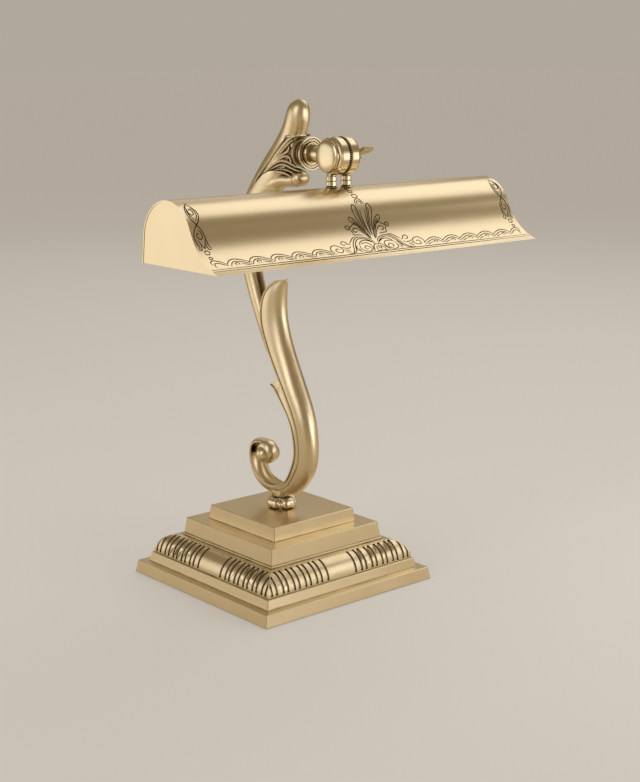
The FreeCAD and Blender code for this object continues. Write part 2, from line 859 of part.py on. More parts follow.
def make_post(side):
    x = side * post_place
    foot_low = crest_top + run_gap
    shoulder = tilt_z - post_shoulder_drop
    body = upright(post_radius, foot_low, shoulder, x, tilt_y)
    body = body.fuse(Part.makeCone(post_foot_radius, post_radius, post_foot_height, vec(x, tilt_y, foot_low)))
    for radius, height, rise in post_rings:
        body = body.fuse(upright(radius, foot_low + rise - height, foot_low + rise, x, tilt_y))
    body = body.fuse(upright(post_thread_radius, foot_low - post_thread_drop, foot_low, x, tilt_y))
    ear_room = rod(ear_radius + run_gap, vec(-2 * ear_outer, tilt_y, tilt_z), vec(1, 0, 0), 4 * ear_outer)
    spigot_top = tilt_z - ear_hollow_radius - seat_gap
    spigot = upright(post_spigot_radius, shoulder - post_spigot_lap, spigot_top, x, tilt_y)
    way = upright(post_bore, foot_low - post_thread_drop, spigot_top, x, tilt_y)
    return body.cut(ear_room).fuse(spigot).cut(way).removeSplitter()


def make_left_cap():
    profile = [(ear_outer, 0.0), (ear_outer, cap_radius - 2 * cap_rim), (ear_outer + cap_rim, cap_radius)]
    steps = 6
    for k in range(1, steps + 1):
        turn = math.pi / 2 * k / steps
        dome = (cap_thick - cap_rim) * math.sin(turn)
        profile.append((ear_outer + cap_rim + dome, cap_radius * math.cos(turn)))
    return turned(profile, vec(0, tilt_y, tilt_z), vec(-1, 0, 0))


def make_wing_screw():
    start = ear_outer + wing_washer_thick + fit_gap
    origin = vec(0, tilt_y, tilt_z)
    hub = [
        (start, 0.0), (start, wing_hub_radius), (start + 0.45 * wing_hub_length, wing_hub_radius),
        (start + 0.6 * wing_hub_length, 0.8 * wing_hub_radius),
        (start + wing_hub_length, 0.62 * wing_hub_radius),
        (start + wing_hub_length, 0.0),
    ]
    body = turned(hub, origin, vec(1, 0, 0))
    shank_low = -ear_outer + pivot_end
    body = body.fuse(rod(pivot_radius, vec(shank_low, tilt_y, tilt_z), vec(1, 0, 0), start - shank_low + 1))
    root_x = start + 0.25 * wing_hub_length
    for side in (-1, 1):
        outline = [
            (root_x, 0.0), (root_x + 0.08 * wing_length, side * 0.48 * wing_reach),
            (root_x + 0.26 * wing_length, side * wing_reach),
            (root_x + wing_length, side * 0.92 * wing_reach),
            (root_x + wing_length, side * 0.41 * wing_reach),
            (start + wing_hub_length, side * 0.07 * wing_reach),
            (start + wing_hub_length, 0.0),
        ]
        points = [vec(x, tilt_y - r, tilt_z - wing_thick / 2) for x, r in outline]
        wing = Part.Face(Part.makePolygon(points + points[:1])).extrude(vec(0, 0, wing_thick))
        body = body.fuse(wing)
    body.rotate(origin, vec(1, 0, 0), wing_angle)
    return body


def make_wing_washer():
    start = vec(ear_outer, tilt_y, tilt_z)
    washer = rod(wing_washer_radius, start, vec(1, 0, 0), wing_washer_thick)
    return washer.cut(rod(pivot_radius + pivot_gap, start, vec(1, 0, 0), wing_washer_thick))


def bracket_top():
    """The flat bracket meets the curved sheet at its edges, so it lies a little lower."""
    return crest_top - shade_sheet - fit_gap - sheet_curve_drop


def make_post_washers():
    washers = []
    low = bracket_top() - bracket_sheet - post_washer_thick
    for x in (-post_place, post_place):
        washer = upright(post_washer_radius, low, low + post_washer_thick, x, tilt_y)
        washers.append(washer.cut(upright(post_thread_radius + run_gap, mouth_z, tilt_z, x, tilt_y)))
    return Part.makeCompound(washers)


def make_post_nuts():
    nuts = []
    low = bracket_top() - bracket_sheet - post_washer_thick - post_nut_height
    for x in (-post_place, post_place):
        nut = hexagon(post_nut_flats, low, post_nut_height, x, tilt_y)
        nuts.append(nut.cut(upright(post_thread_radius + run_gap, mouth_z, tilt_z, x, tilt_y)))
    return Part.makeCompound(nuts)


# Lampholders and lamps

def make_bracket():
    top = bracket_top()
    low = lamp_z - bracket_lap
    back = tilt_y - bracket_width / 2
    front = tilt_y + bracket_width / 2
    body = box(-bracket_half, back, top - bracket_sheet, bracket_half, front, top)
    for side in (-1, 1):
        outer = side * bracket_half
        inner = side * (bracket_half - bracket_sheet)
        leg = box(min(outer, inner), back, low, max(outer, inner), front, top)
        hole = upright(post_thread_radius + run_gap, top - bracket_sheet, top, side * post_place, tilt_y)
        body = body.fuse(leg).cut(hole)
    neck_low = vec(-bracket_half, lamp_y, lamp_z)
    way = rod(holder_neck_radius + run_gap, neck_low, vec(1, 0, 0), 2 * bracket_half)
    return body.cut(way).removeSplitter()


def make_holder(side):
    neck_end = bracket_half - holder_neck_length
    mouth = bracket_half + holder_length
    floor = bracket_half + holder_base
    profile = [(neck_end, holder_bore), (neck_end, holder_neck_radius), (bracket_half, holder_neck_radius)]
    for along, radius in holder_flare:
        profile.append((bracket_half + along, radius))
    profile += [(mouth, holder_radius), (mouth, holder_radius - holder_wall),
                (floor, holder_radius - holder_wall), (floor, holder_bore)]
    return turned(profile, vec(0, lamp_y, lamp_z), vec(side, 0, 0))


def make_bulb(side):
    socket_end = bracket_half + holder_length
    inside = holder_radius - holder_wall - bulb_glass_gap
    start = bracket_half + holder_base + bulb_glass_gap
    end = socket_end + bulb_length
    profile = [(start, 0.0), (start, bulb_pin_radius), (start + bulb_screw_start, bulb_screw_radius),
               (start + bulb_screw_end, bulb_screw_radius), (socket_end, inside),
               (socket_end + bulb_flare, bulb_radius)]
    steps = 6
    for k in range(steps + 1):
        turn = math.pi / 2 * k / steps
        profile.append((end - bulb_radius * (1 - math.sin(turn)), bulb_radius * math.cos(turn)))
    return turned(profile, vec(0, lamp_y, lamp_z), vec(side, 0, 0))


def make_holder_nuts():
    nuts = []
    for side in (-1, 1):
        nut = hexagon(holder_nut_flats, 0, holder_nut_height)
        nut = nut.cut(upright(holder_neck_radius + run_gap, 0, holder_nut_height))
        nut.rotate(vec(0, 0, 0), vec(0, 1, 0), side * 90)
        nut.translate(vec(side * (bracket_half - bracket_sheet - holder_nut_height), lamp_y, lamp_z))
        nuts.append(nut)
    return Part.makeCompound(nuts)


def main():
    save("base_plinth", make_plinth())
    save("fluted_tier", make_fluted_tier())
    save("middle_tier", make_middle_tier())
    save("crown_tier", make_crown_tier())
    save("ballast", make_ballast())
    save("cover_plate", make_cover_plate())
    save("felt_pad", box(-lining_half, -lining_half, 0, lining_half, lining_half, felt_thick))
    save("cover_screws", make_cover_screws())
    save("inlet_bushing", make_inlet_bushing())
    save("terminal_block", make_terminal_block())
    save("tie_tube", make_tie_tube())
    save("tie_washer", make_tie_washer())
    save("tie_nut", make_tie_nut())
    save("arm_collar", make_collar())
    save("front_scroll", make_front_scroll())
    save("back_scroll", make_back_scroll())
    save("scroll_ball", make_scroll_ball())
    save("upper_arm", make_upper_arm())
    save("arm_screws", make_joint_screws())
    save("neck_collar", make_neck_collar())
    save("swivel_neck", make_neck())
    save("left_ear", make_ear(-1))
    save("right_ear", make_ear(1))
    save("left_cap", make_left_cap())
    save("wing_washer", make_wing_washer())
    save("wing_screw", make_wing_screw())
    save("left_post", make_post(-1))
    save("right_post", make_post(1))
    save("post_washers", make_post_washers())
    save("post_nuts", make_post_nuts())
    save("shade_shell", make_shade_shell())
    save("left_end_cap", make_end_cap(-1))
    save("right_end_cap", make_end_cap(1))
    save("lamp_bracket", make_bracket())
    save("holder_nuts", make_holder_nuts())
    save("left_lampholder", make_holder(-1))
    save("right_lampholder", make_holder(1))
    save("left_bulb", make_bulb(-1))
    save("right_bulb", make_bulb(1))


main()
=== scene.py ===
import math
import bpy
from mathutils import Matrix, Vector


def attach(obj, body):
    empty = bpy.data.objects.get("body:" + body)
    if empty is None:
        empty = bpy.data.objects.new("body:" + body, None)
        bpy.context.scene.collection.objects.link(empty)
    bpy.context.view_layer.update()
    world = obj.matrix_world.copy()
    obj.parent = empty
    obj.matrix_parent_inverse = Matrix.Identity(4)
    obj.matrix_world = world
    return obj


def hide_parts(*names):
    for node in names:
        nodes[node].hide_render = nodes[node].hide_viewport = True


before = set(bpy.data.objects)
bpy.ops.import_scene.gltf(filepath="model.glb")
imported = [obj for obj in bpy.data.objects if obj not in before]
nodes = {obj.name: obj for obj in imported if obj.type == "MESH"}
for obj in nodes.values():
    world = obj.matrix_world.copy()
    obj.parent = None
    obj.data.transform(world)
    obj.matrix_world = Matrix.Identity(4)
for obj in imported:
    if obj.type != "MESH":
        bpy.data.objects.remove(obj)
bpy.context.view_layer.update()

# Piano lamp in antique brass. In the dictionaries lengths are millimetres, angles degrees, powers watts.
mm = 0.001


def clearSelection():
    if bpy.context.object and bpy.context.object.mode != "OBJECT":
        bpy.ops.object.mode_set(mode="OBJECT")
    bpy.ops.object.select_all(action="DESELECT")


def linear(hexText):  # sRGB hex to a linear colour
    parts = [int(hexText[i:i + 2], 16) / 255 for i in (1, 3, 5)]
    return tuple(c / 12.92 if c <= 0.04045 else ((c + 0.055) / 1.055) ** 2.4 for c in parts) + (1.0,)


def addNode(tree, kind, settings=None, inputs=None):
    node = tree.nodes.new(kind)
    for key, value in (settings or {}).items():
        setattr(node, key, value)
    for key, value in (inputs or {}).items():
        if isinstance(value, bpy.types.NodeSocket):
            tree.links.new(value, node.inputs[key])
        else:
            node.inputs[key].default_value = value
    return node


def newMaterial(name):
    material = bpy.data.materials.new(name)
    material.use_nodes = True
    tree = material.node_tree
    tree.nodes.clear()
    return material, tree


# Lacquered antique brass: polished high spots on the edges, which also paint a highlight there, brown-black
# patina in the hollows, which also paints the shade in hollows and where parts meet, fine grain.
# hollow and edge say how far in the patina with its painted shade and the wear with its painted highlight
# reach, softEdge how round the edges look.
brassFinishes = {
    "castBrass": {"bright": "#E9D8B6", "wornAndHighlit": "#F5E6C6", "patinaAndShade": "#3A2812", "rough": 0.34,
                  "hollow": 7.0, "darkFrom": 0.3, "darkTo": 0.85, "edge": 0.9,
                  "grain": (1.6, 1.6, 1.6), "grainDepth": 0.12, "softEdge": 0.3, "smudge": 1.0},
    "tierBrass": {"bright": "#E8D6B2", "wornAndHighlit": "#F5E6C6", "patinaAndShade": "#1A1106", "rough": 0.33,
                  "hollow": 2.6, "darkFrom": 0.35, "darkTo": 0.85, "edge": 0.9,
                  "grain": (1.8, 1.8, 1.8), "grainDepth": 0.12, "softEdge": 0.5, "smudge": 1.0},
    # crownBrass is the tier finish with a shorter reach of painted shade, so the shade painted under the
    # arm collar stays light
    "crownBrass": {"bright": "#E8D6B2", "wornAndHighlit": "#F5E6C6", "patinaAndShade": "#3A2812", "rough": 0.33,
                   "hollow": 1.2, "darkFrom": 0.3, "darkTo": 0.85, "edge": 0.9,
                   "grain": (1.8, 1.8, 1.8), "grainDepth": 0.12, "softEdge": 0.5, "smudge": 1.0},
    "turnedBrass": {"bright": "#EAD9B6", "wornAndHighlit": "#F8EBCB", "patinaAndShade": "#1E1407", "rough": 0.22,
                    "hollow": 2.6, "darkFrom": 0.3, "darkTo": 0.8, "edge": 0.7,
                    "grain": (0.4, 4.0, 4.0), "grainDepth": 0.08, "softEdge": 0.3, "smudge": 1.0},
    "shadeBrass": {"bright": "#EAD8B5", "wornAndHighlit": "#F5E6C6", "patinaAndShade": "#2C1D0B", "rough": 0.30,
                   "hollow": 1.6, "darkFrom": 0.2, "darkTo": 0.6, "edge": 0.6,
                   "grain": (0.03, 5.0, 5.0), "grainDepth": 0.05, "softEdge": 0.0, "smudge": 0.2},
    # knotBrass has a paler patina colour so the shade painted under the knots is softer
    "knotBrass": {"bright": "#EFE0C2", "wornAndHighlit": "#F5E6C6", "patinaAndShade": "#6B5227", "rough": 0.28,
                  "hollow": 1.4, "darkFrom": 0.25, "darkTo": 0.8, "edge": 0.9,
                  "grain": (1.6, 1.6, 1.6), "grainDepth": 0.08, "softEdge": 0.3, "smudge": 1.0},
    # near-black brass for the engraved lines, and for the swivel teeth, where it paints the shade in the
    # gap between the ears
    "darkPatinaAndShadeBrass": {"bright": "#33230F", "wornAndHighlit": "#4E391B", "patinaAndShade": "#1A1106", "rough": 0.6,
                       "hollow": 1.0, "darkFrom": 0.2, "darkTo": 0.7, "edge": 0.4,
                       "grain": (2.0, 2.0, 2.0), "grainDepth": 0.1, "softEdge": 0.1, "smudge": 1.0},
}
# What all these finishes share: clouds in the patina, wear with a painted highlight on the edges, painted
# shade in hollows, roughness and the grain
brassSurface = {
    "cloud": 16.0, "cloudDetail": 5.0, "cloudLow": 0.3, "cloudHigh": 0.7, "cloudStain": 0.25,
    "stainShadeLevel": 0.12, "hollowRays": 12, "edgeRays": 8, "bevelRays": 4, "wearHighlightFrom": 0.3, "wearHighlightTo": 0.65,
    "smoother": 0.03, "rougher": 0.05, "stainShadeRough": 0.25, "grainDetail": 2.0, "grainHeight": 0.1,
}


def makeBrass(name, finish, surface):
    material, tree = newMaterial(name)
    place = addNode(tree, "ShaderNodeTexCoord").outputs["Object"]
    cloud = addNode(tree, "ShaderNodeTexNoise", inputs={
        "Vector": place, "Scale": 1 / (surface["cloud"] * mm), "Detail": surface["cloudDetail"]})
    grainPlace = addNode(tree, "ShaderNodeMapping", inputs={
        "Vector": place, "Scale": [share / mm for share in finish["grain"]]}).outputs["Vector"]
    grain = addNode(tree, "ShaderNodeTexNoise", inputs={
        "Vector": grainPlace, "Scale": 1.0, "Detail": surface["grainDetail"]})
    # occlusion darkens hollows and the gaps where parts meet: real patina, and painted shade in those gaps
    # and under parts
    hollow = addNode(tree, "ShaderNodeAmbientOcclusion", {"samples": surface["hollowRays"]},
                     {"Distance": finish["hollow"] * mm})
    # occlusion from inside finds convex edges, which get the lighter worn colour: rubbed wear and a painted
    # edge highlight
    edge = addNode(tree, "ShaderNodeAmbientOcclusion",
                   {"samples": surface["edgeRays"], "only_local": True, "inside": True},
                   {"Distance": finish["edge"] * mm})
    # the mix towards the patina colour below is painted shade as well as patina; the clouds add real random
    # stains
    stainAndShade = addNode(tree, "ShaderNodeMath", {"operation": "MULTIPLY_ADD"}, {
        0: cloud.outputs["Fac"], 1: -surface["cloudStain"], 2: hollow.outputs["AO"]})
    dark = addNode(tree, "ShaderNodeMapRange", inputs={
        "Value": stainAndShade.outputs["Value"], "From Min": finish["darkFrom"] - surface["stainShadeLevel"],
        "From Max": finish["darkTo"] - surface["stainShadeLevel"], "To Min": 1.0, "To Max": 0.0})
    wearAndHighlight = addNode(tree, "ShaderNodeMapRange", inputs={
        "Value": edge.outputs["AO"], "From Min": surface["wearHighlightFrom"], "From Max": surface["wearHighlightTo"],
        "To Min": 1.0, "To Max": 0.0})
    tint = addNode(tree, "ShaderNodeMix", {"data_type": "RGBA"}, {
        "Factor": wearAndHighlight.outputs["Result"], "A": linear(finish["bright"]), "B": linear(finish["wornAndHighlit"])})
    stainedAndShaded = addNode(tree, "ShaderNodeMix", {"data_type": "RGBA"}, {
        "Factor": dark.outputs["Result"], "A": tint.outputs["Result"], "B": linear(finish["patinaAndShade"])})
    rough = addNode(tree, "ShaderNodeMapRange", inputs={
        "Value": cloud.outputs["Fac"], "From Min": surface["cloudLow"], "From Max": surface["cloudHigh"],
        "To Min": finish["rough"] - surface["smoother"] * finish["smudge"],
        "To Max": finish["rough"] + surface["rougher"] * finish["smudge"]})
    roughAll = addNode(tree, "ShaderNodeMath", {"operation": "MULTIPLY_ADD"}, {
        0: dark.outputs["Result"], 1: surface["stainShadeRough"], 2: rough.outputs["Result"]})
    bump = addNode(tree, "ShaderNodeBump", inputs={
        "Height": grain.outputs["Fac"], "Strength": finish["grainDepth"],
        "Distance": surface["grainHeight"] * mm})
    if finish["softEdge"]:
        softEdge = addNode(tree, "ShaderNodeBevel", {"samples": surface["bevelRays"]},
                           {"Radius": finish["softEdge"] * mm})
        tree.links.new(softEdge.outputs["Normal"], bump.inputs["Normal"])
    shader = addNode(tree, "ShaderNodeBsdfPrincipled", inputs={
        "Base Color": stainedAndShaded.outputs["Result"], "Metallic": 1.0,
        "Roughness": roughAll.outputs["Value"], "Normal": bump.outputs["Normal"]})
    addNode(tree, "ShaderNodeOutputMaterial", inputs={"Surface": shader.outputs["BSDF"]})
    return material


brass = {name: makeBrass(name, finish, brassSurface) for name, finish in brassFinishes.items()}


# Plain finishes of the pieces inside: what they are made of, how rough, and how their surface varies
plainFinishes = {
    "zincPlatedSteel": {"colour": "#B9BCC0", "dark": "#8C9096", "metal": 1.0, "rough": 0.35, "size": 6.0},
    "castIron": {"colour": "#4A4B4D", "dark": "#2C2D2F", "metal": 0.6, "rough": 0.75, "size": 1.2},
    "woolFelt": {"colour": "#2F4A34", "dark": "#203425", "metal": 0.0, "rough": 0.95, "size": 0.8},
    "blackRubber": {"colour": "#1B1B1C", "dark": "#101011", "metal": 0.0, "rough": 0.6, "size": 3.0},
    "whiteNylon": {"colour": "#E8E6E0", "dark": "#D6D3CA", "metal": 0.0, "rough": 0.45, "size": 9.0},
    "phenolic": {"colour": "#17130F", "dark": "#0D0A08", "metal": 0.0, "rough": 0.3, "size": 5.0},
}
plainSurface = {
    "detail": 4.0, "cloudLow": 0.3, "cloudHigh": 0.7, "roughBand": 0.05, "bump": 0.3, "height": 0.2,
}


def makePlain(name, finish, surface):
    material, tree = newMaterial(name)
    place = addNode(tree, "ShaderNodeTexCoord").outputs["Object"]
    cloud = addNode(tree, "ShaderNodeTexNoise", inputs={
        "Vector": place, "Scale": 1 / (finish["size"] * mm), "Detail": surface["detail"]})
    tint = addNode(tree, "ShaderNodeMix", {"data_type": "RGBA"}, {
        "Factor": cloud.outputs["Fac"], "A": linear(finish["dark"]), "B": linear(finish["colour"])})
    rough = addNode(tree, "ShaderNodeMapRange", inputs={
        "Value": cloud.outputs["Fac"], "From Min": surface["cloudLow"], "From Max": surface["cloudHigh"],
        "To Min": finish["rough"] - surface["roughBand"], "To Max": finish["rough"] + surface["roughBand"]})
    bump = addNode(tree, "ShaderNodeBump", inputs={
        "Height": cloud.outputs["Fac"], "Strength": surface["bump"], "Distance": surface["height"] * mm})
    shader = addNode(tree, "ShaderNodeBsdfPrincipled", inputs={
        "Base Color": tint.outputs["Result"], "Metallic": finish["metal"],
        "Roughness": rough.outputs["Result"], "Normal": bump.outputs["Normal"]})
    addNode(tree, "ShaderNodeOutputMaterial", inputs={"Surface": shader.outputs["BSDF"]})
    return material


plain = {name: makePlain(name, finish, plainSurface) for name, finish in plainFinishes.items()}
frosted = {
    "colour": "#F4F1EA", "rough": 0.42, "ior": 1.5, "see": 0.55, "grit": 0.4, "bump": 0.15, "height": 0.05,
}


def makeFrosted(spec):  # acid-etched lamp glass: milky, with a fine even grit
    material, tree = newMaterial("frostedGlass")
    place = addNode(tree, "ShaderNodeTexCoord").outputs["Object"]
    grit = addNode(tree, "ShaderNodeTexNoise", inputs={"Vector": place, "Scale": 1 / (spec["grit"] * mm)})
    bump = addNode(tree, "ShaderNodeBump", inputs={
        "Height": grit.outputs["Fac"], "Strength": spec["bump"], "Distance": spec["height"] * mm})
    shader = addNode(tree, "ShaderNodeBsdfPrincipled", inputs={
        "Base Color": linear(spec["colour"]), "Roughness": spec["rough"], "IOR": spec["ior"],
        "Transmission Weight": spec["see"], "Normal": bump.outputs["Normal"]})
    addNode(tree, "ShaderNodeOutputMaterial", inputs={"Surface": shader.outputs["BSDF"]})
    return material


plain["frostedGlass"] = makeFrosted(frosted)
print("materials made")


camera = {
    "place": (-870.6, -1063.1, 489.2),  # from the photograph's perspective
    "turn": -40.823, "pitch": -12.7, "focal": 69.87, "sensor": 36.0, "farthest": 50000,
}


def makeCamera(spec):
    data = bpy.data.cameras.new("camera")
    data.lens = spec["focal"]
    data.sensor_width = spec["sensor"]
    data.clip_end = spec["farthest"] * mm
    item = bpy.data.objects.new("camera", data)
    item.location = [v * mm for v in spec["place"]]
    item.rotation_euler = (math.radians(90 + spec["pitch"]), 0, math.radians(spec["turn"]))
    bpy.context.scene.collection.objects.link(item)
    bpy.context.scene.camera = item


lights = {
    "leftSoftbox": {"place": (-2100, -300, 1100), "size": (1200, 1500), "power": 9, "colour": "#FFFFFF"},
    "frontSoftbox": {"place": (600, -2150, 480), "size": (1200, 900), "power": 9, "colour": "#FFFFFF"},
    "topSoftbox": {"place": (1350, 100, 1750), "size": (1500, 1500), "power": 7.6, "colour": "#FFFFFF"},
    "rearSoftbox": {"place": (1200, 1800, 1500), "size": (1600, 1200), "power": 2.5, "colour": "#FFFFFF"},
    "lowSoftbox": {"place": (540, -500, 370), "size": (420, 380), "power": 0.6, "colour": "#FFFFFF"},
    "sidePanel": {"place": (-900, 800, 330), "size": (900, 700), "power": 1.7, "colour": "#FFFFFF"},
}
lightAim = (0, 0, 220)


def makeLights(specs, target):
    for name, spec in specs.items():
        data = bpy.data.lights.new(name, "AREA")
        data.shape = "RECTANGLE"
        data.size = spec["size"][0] * mm
        data.size_y = spec["size"][1] * mm
        data.energy = spec["power"]
        data.color = linear(spec["colour"])[:3]
        item = bpy.data.objects.new(name, data)
        item.location = [v * mm for v in spec["place"]]
        aim = Vector(target) * mm - item.location
        item.rotation_euler = aim.to_track_quat("-Z", "Y").to_euler()
        item.visible_camera = False
        bpy.context.scene.collection.objects.link(item)


# The camera sees the backdrop and the floor in a paler tone than the one that lights and shows in the brass
worldLook = {"studio": "#B3A182", "studioGlow": 0.55, "backdrop": "#B1A89C", "backdropGlow": 1.0}
floorLook = {"seen": "#D2CFCB", "mirrored": "#BBAE96", "rough": 0.7, "glow": 0.42, "size": 60000}


def makeWorld(spec):
    world = bpy.data.worlds.new("studio")
    bpy.context.scene.world = world
    world.use_nodes = True
    tree = world.node_tree
    tree.nodes.clear()
    seen = addNode(tree, "ShaderNodeLightPath").outputs["Is Camera Ray"]
    studio = addNode(tree, "ShaderNodeBackground", inputs={
        "Color": linear(spec["studio"]), "Strength": spec["studioGlow"]})
    backdrop = addNode(tree, "ShaderNodeBackground", inputs={
        "Color": linear(spec["backdrop"]), "Strength": spec["backdropGlow"]})
    both = addNode(tree, "ShaderNodeMixShader", inputs={
        0: seen, 1: studio.outputs["Background"], 2: backdrop.outputs["Background"]})
    addNode(tree, "ShaderNodeOutputWorld", inputs={"Surface": both.outputs["Shader"]})


def makeFloor(spec):
    clearSelection()
    bpy.ops.mesh.primitive_plane_add(size=spec["size"] * mm, location=(0, 0, 0))
    floor = bpy.context.object
    floor.name = "floor"
    material, tree = newMaterial("paintedFloor")
    seen = addNode(tree, "ShaderNodeLightPath").outputs["Is Camera Ray"]
    paint = addNode(tree, "ShaderNodeMix", {"data_type": "RGBA"}, {
        "Factor": seen, "A": linear(spec["mirrored"]), "B": linear(spec["seen"])})
    shader = addNode(tree, "ShaderNodeBsdfPrincipled", inputs={
        "Base Color": paint.outputs["Result"], "Roughness": spec["rough"],
        "Emission Color": paint.outputs["Result"], "Emission Strength": spec["glow"]})
    addNode(tree, "ShaderNodeOutputMaterial", inputs={"Surface": shader.outputs["BSDF"]})
    floor.data.materials.append(material)


makeCamera(camera)
bpy.context.scene.view_settings.view_transform = "Standard"
makeLights(lights, lightAim)
makeWorld(worldLook)
makeFloor(floorLook)
print("studio set")


def fillIn(rows, steps):  # a smooth line through the rows, steps rows from each to the next
    last = len(rows) - 1
    filled = []
    for i in range(last):
        near = [rows[max(0, min(last, i + k))] for k in (-1, 0, 1, 2)]
        for s in range(steps):
            t = s / steps
            filled.append([0.5 * (2 * b + (c - a) * t + (2 * a - 5 * b + 4 * c - d) * t * t
                                  + (3 * b - a - 3 * c + d) * t ** 3) for a, b, c, d in zip(*near)])
    filled.append(list(rows[-1]))
    return filled


def pick(piece, test, mode="VERT"):  # edit mode, with only what passes the test selected
    bpy.context.view_layer.objects.active = piece
    bpy.ops.object.mode_set(mode="EDIT")
    bpy.ops.mesh.select_mode(type=mode)
    bpy.ops.mesh.select_all(action="DESELECT")
    bpy.ops.object.mode_set(mode="OBJECT")
    if mode == "FACE":
        for face in piece.data.polygons:
            face.select = test(face.center / mm, face.normal)
    else:
        for vertex in piece.data.vertices:
            vertex.select = test(vertex.co / mm)
    bpy.ops.object.mode_set(mode="EDIT")


def applyModifier(piece, kind, **settings):
    modifier = piece.modifiers.new(kind.lower(), kind)
    for key, value in settings.items():
        setattr(modifier, key, value)
    bpy.context.view_layer.objects.active = piece
    bpy.ops.object.modifier_apply(modifier=modifier.name)


def bendAlong(piece, rows):  # the piece's height laid along the line of the rows, which start with (y, z)
    data = bpy.data.curves.new("guideLine", "CURVE")
    data.dimensions = "3D"
    data.twist_mode = "MINIMUM"
    data.use_path = True
    line = data.splines.new("POLY")
    line.points.add(len(rows) - 1)
    # a line that starts towards -Y has its frame upside down
    turn = math.pi if rows[1][0] < rows[0][0] else 0
    for point, row in zip(line.points, rows):
        point.co = (0, row[0] * mm, row[1] * mm, 1)
        point.tilt = turn
    guide = bpy.data.objects.new("guideLine", data)
    bpy.context.scene.collection.objects.link(guide)
    applyModifier(piece, "CURVE", object=guide, deform_axis="POS_Z")
    bpy.data.objects.remove(guide)


def joinPieces(pieces):
    clearSelection()
    for piece in pieces:
        piece.select_set(True)
    bpy.context.view_layer.objects.active = pieces[0]
    bpy.ops.object.join()
    return pieces[0]


# A ring, or the half of a ring whose crown lies on the line, pulled straight up through the rows.
# Rows: (y, z, half width, depth), and only the distance from row to row counts here.
def pullSection(name, rows, corners, isOpen=False):
    clearSelection()
    bpy.ops.mesh.primitive_circle_add(vertices=corners, radius=1.0, location=(0, 1.0 if isOpen else 0, 0))
    piece = bpy.context.object
    piece.name = name
    bpy.ops.object.transform_apply(location=True)
    if isOpen:
        pick(piece, lambda co: co.y * mm > 1.001)
        bpy.ops.mesh.delete(type="VERT")
    else:
        bpy.ops.object.mode_set(mode="EDIT")
    bpy.ops.mesh.select_all(action="SELECT")
    bpy.ops.transform.resize(value=(rows[0][2] * mm, rows[0][3] * mm, 1), center_override=(0, 0, 0))
    height = 0
    for low, high in zip(rows, rows[1:]):
        step = math.dist(low[:2], high[:2]) * mm
        height += step
        bpy.ops.mesh.extrude_region_move(TRANSFORM_OT_translate={"value": (0, 0, step)})
        wider, deeper = high[2] / low[2], high[3] / low[3]
        bpy.ops.transform.resize(value=(wider, deeper, 1), center_override=(0, 0, height))
    if not isOpen:
        bpy.ops.mesh.select_all(action="SELECT")
        bpy.ops.mesh.fill_holes(sides=0)
    bpy.ops.mesh.select_all(action="SELECT")
    bpy.ops.mesh.normals_make_consistent(inside=False)
    bpy.ops.object.mode_set(mode="OBJECT")
    return piece


def finishPiece(piece, body, replaced, material, angle=35):
    clearSelection()
    piece.select_set(True)
    bpy.context.view_layer.objects.active = piece
    bpy.ops.object.shade_smooth_by_angle(angle=math.radians(angle))
    piece.data.materials.clear()
    piece.data.materials.append(material)
    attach(piece, body)
    if replaced:
        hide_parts(*replaced)


tubeLook = {"between": 4, "thinnest": 0.05}


def addTube(rows, corners):  # rows: (x, y, z, radius); a closed tube through them
    rows = fillIn(rows, tubeLook["between"])
    data = bpy.data.curves.new("tubeLine", "CURVE")
    data.dimensions = "3D"
    data.bevel_depth = mm
    data.bevel_resolution = corners // 2 - 1
    data.use_fill_caps = True
    line = data.splines.new("POLY")
    line.points.add(len(rows) - 1)
    for point, row in zip(line.points, rows):
        point.co = (row[0] * mm, row[1] * mm, row[2] * mm, 1)
        point.radius = max(row[3], tubeLook["thinnest"])
    tube = bpy.data.objects.new("tubeLine", data)
    bpy.context.scene.collection.objects.link(tube)
    clearSelection()
    tube.select_set(True)
    bpy.context.view_layer.objects.active = tube
    bpy.ops.object.convert(target="MESH")
    return bpy.context.object


def addTurned(profile, place, axis, corners=64):  # profile: (radius, along) turned round the axis
    rows = [(0, along, radius, radius) for radius, along in profile]
    piece = pullSection("turnedPart", rows, corners)
    axis = Vector(axis).normalized()
    piece.location = (Vector(place) + axis * profile[0][1]) * mm
    piece.rotation_euler = axis.to_track_quat("Z", "Y").to_euler()
    clearSelection()
    piece.select_set(True)
    bpy.ops.object.transform_apply(location=True, rotation=True)
    return piece


# Front scroll, a cast leaf like half a tube. Rows: (y, z, half width, depth) down its crown
frontScrollSpec = {
    "rows": [(-9.0, 283.2, 1.6, 1.0), (-8.5, 282.3, 3.8, 3.6), (-7.4, 279.0, 6.8, 9.6),
             (-6.4, 273.5, 9.4, 14.2), (-5.6, 266.5, 11.0, 17.8), (-5.4, 257.0, 11.8, 20.0),
             (-7.0, 245.0, 12.0, 20.8), (-12.4, 227.5, 12.0, 18.5), (-20.4, 210.0, 12.0, 16.5),
             (-30.4, 190.0, 12.0, 14.0), (-40.2, 171.0, 11.5, 13.4), (-46.2, 153.5, 11.0, 12.6),
             (-49.3, 131.0, 10.2, 13.1), (-46.0, 111.5, 10.0, 13.0), (-35.0, 95.2, 9.8, 11.8),
             (-24.5, 86.2, 9.4, 9.8), (-14.5, 81.4, 9.0, 6.4)],
    "corners": 40, "between": 4, "wall": 1.5, "rim": 1.0, "rimFrom": 1, "rimTo": 1, "rimCorners": 8,
    "tip": (0, -8.9, 283.1, 1.0),
    "bosses": [((12.61, 216.92), (-0.842, 0.539)), ((18.91, 228.34), (-0.9, 0.436))],
    "bossProfile": [(4.4, 9.0), (4.4, 17.6), (5.4, 19.2)], "bossCorners": 32,
}
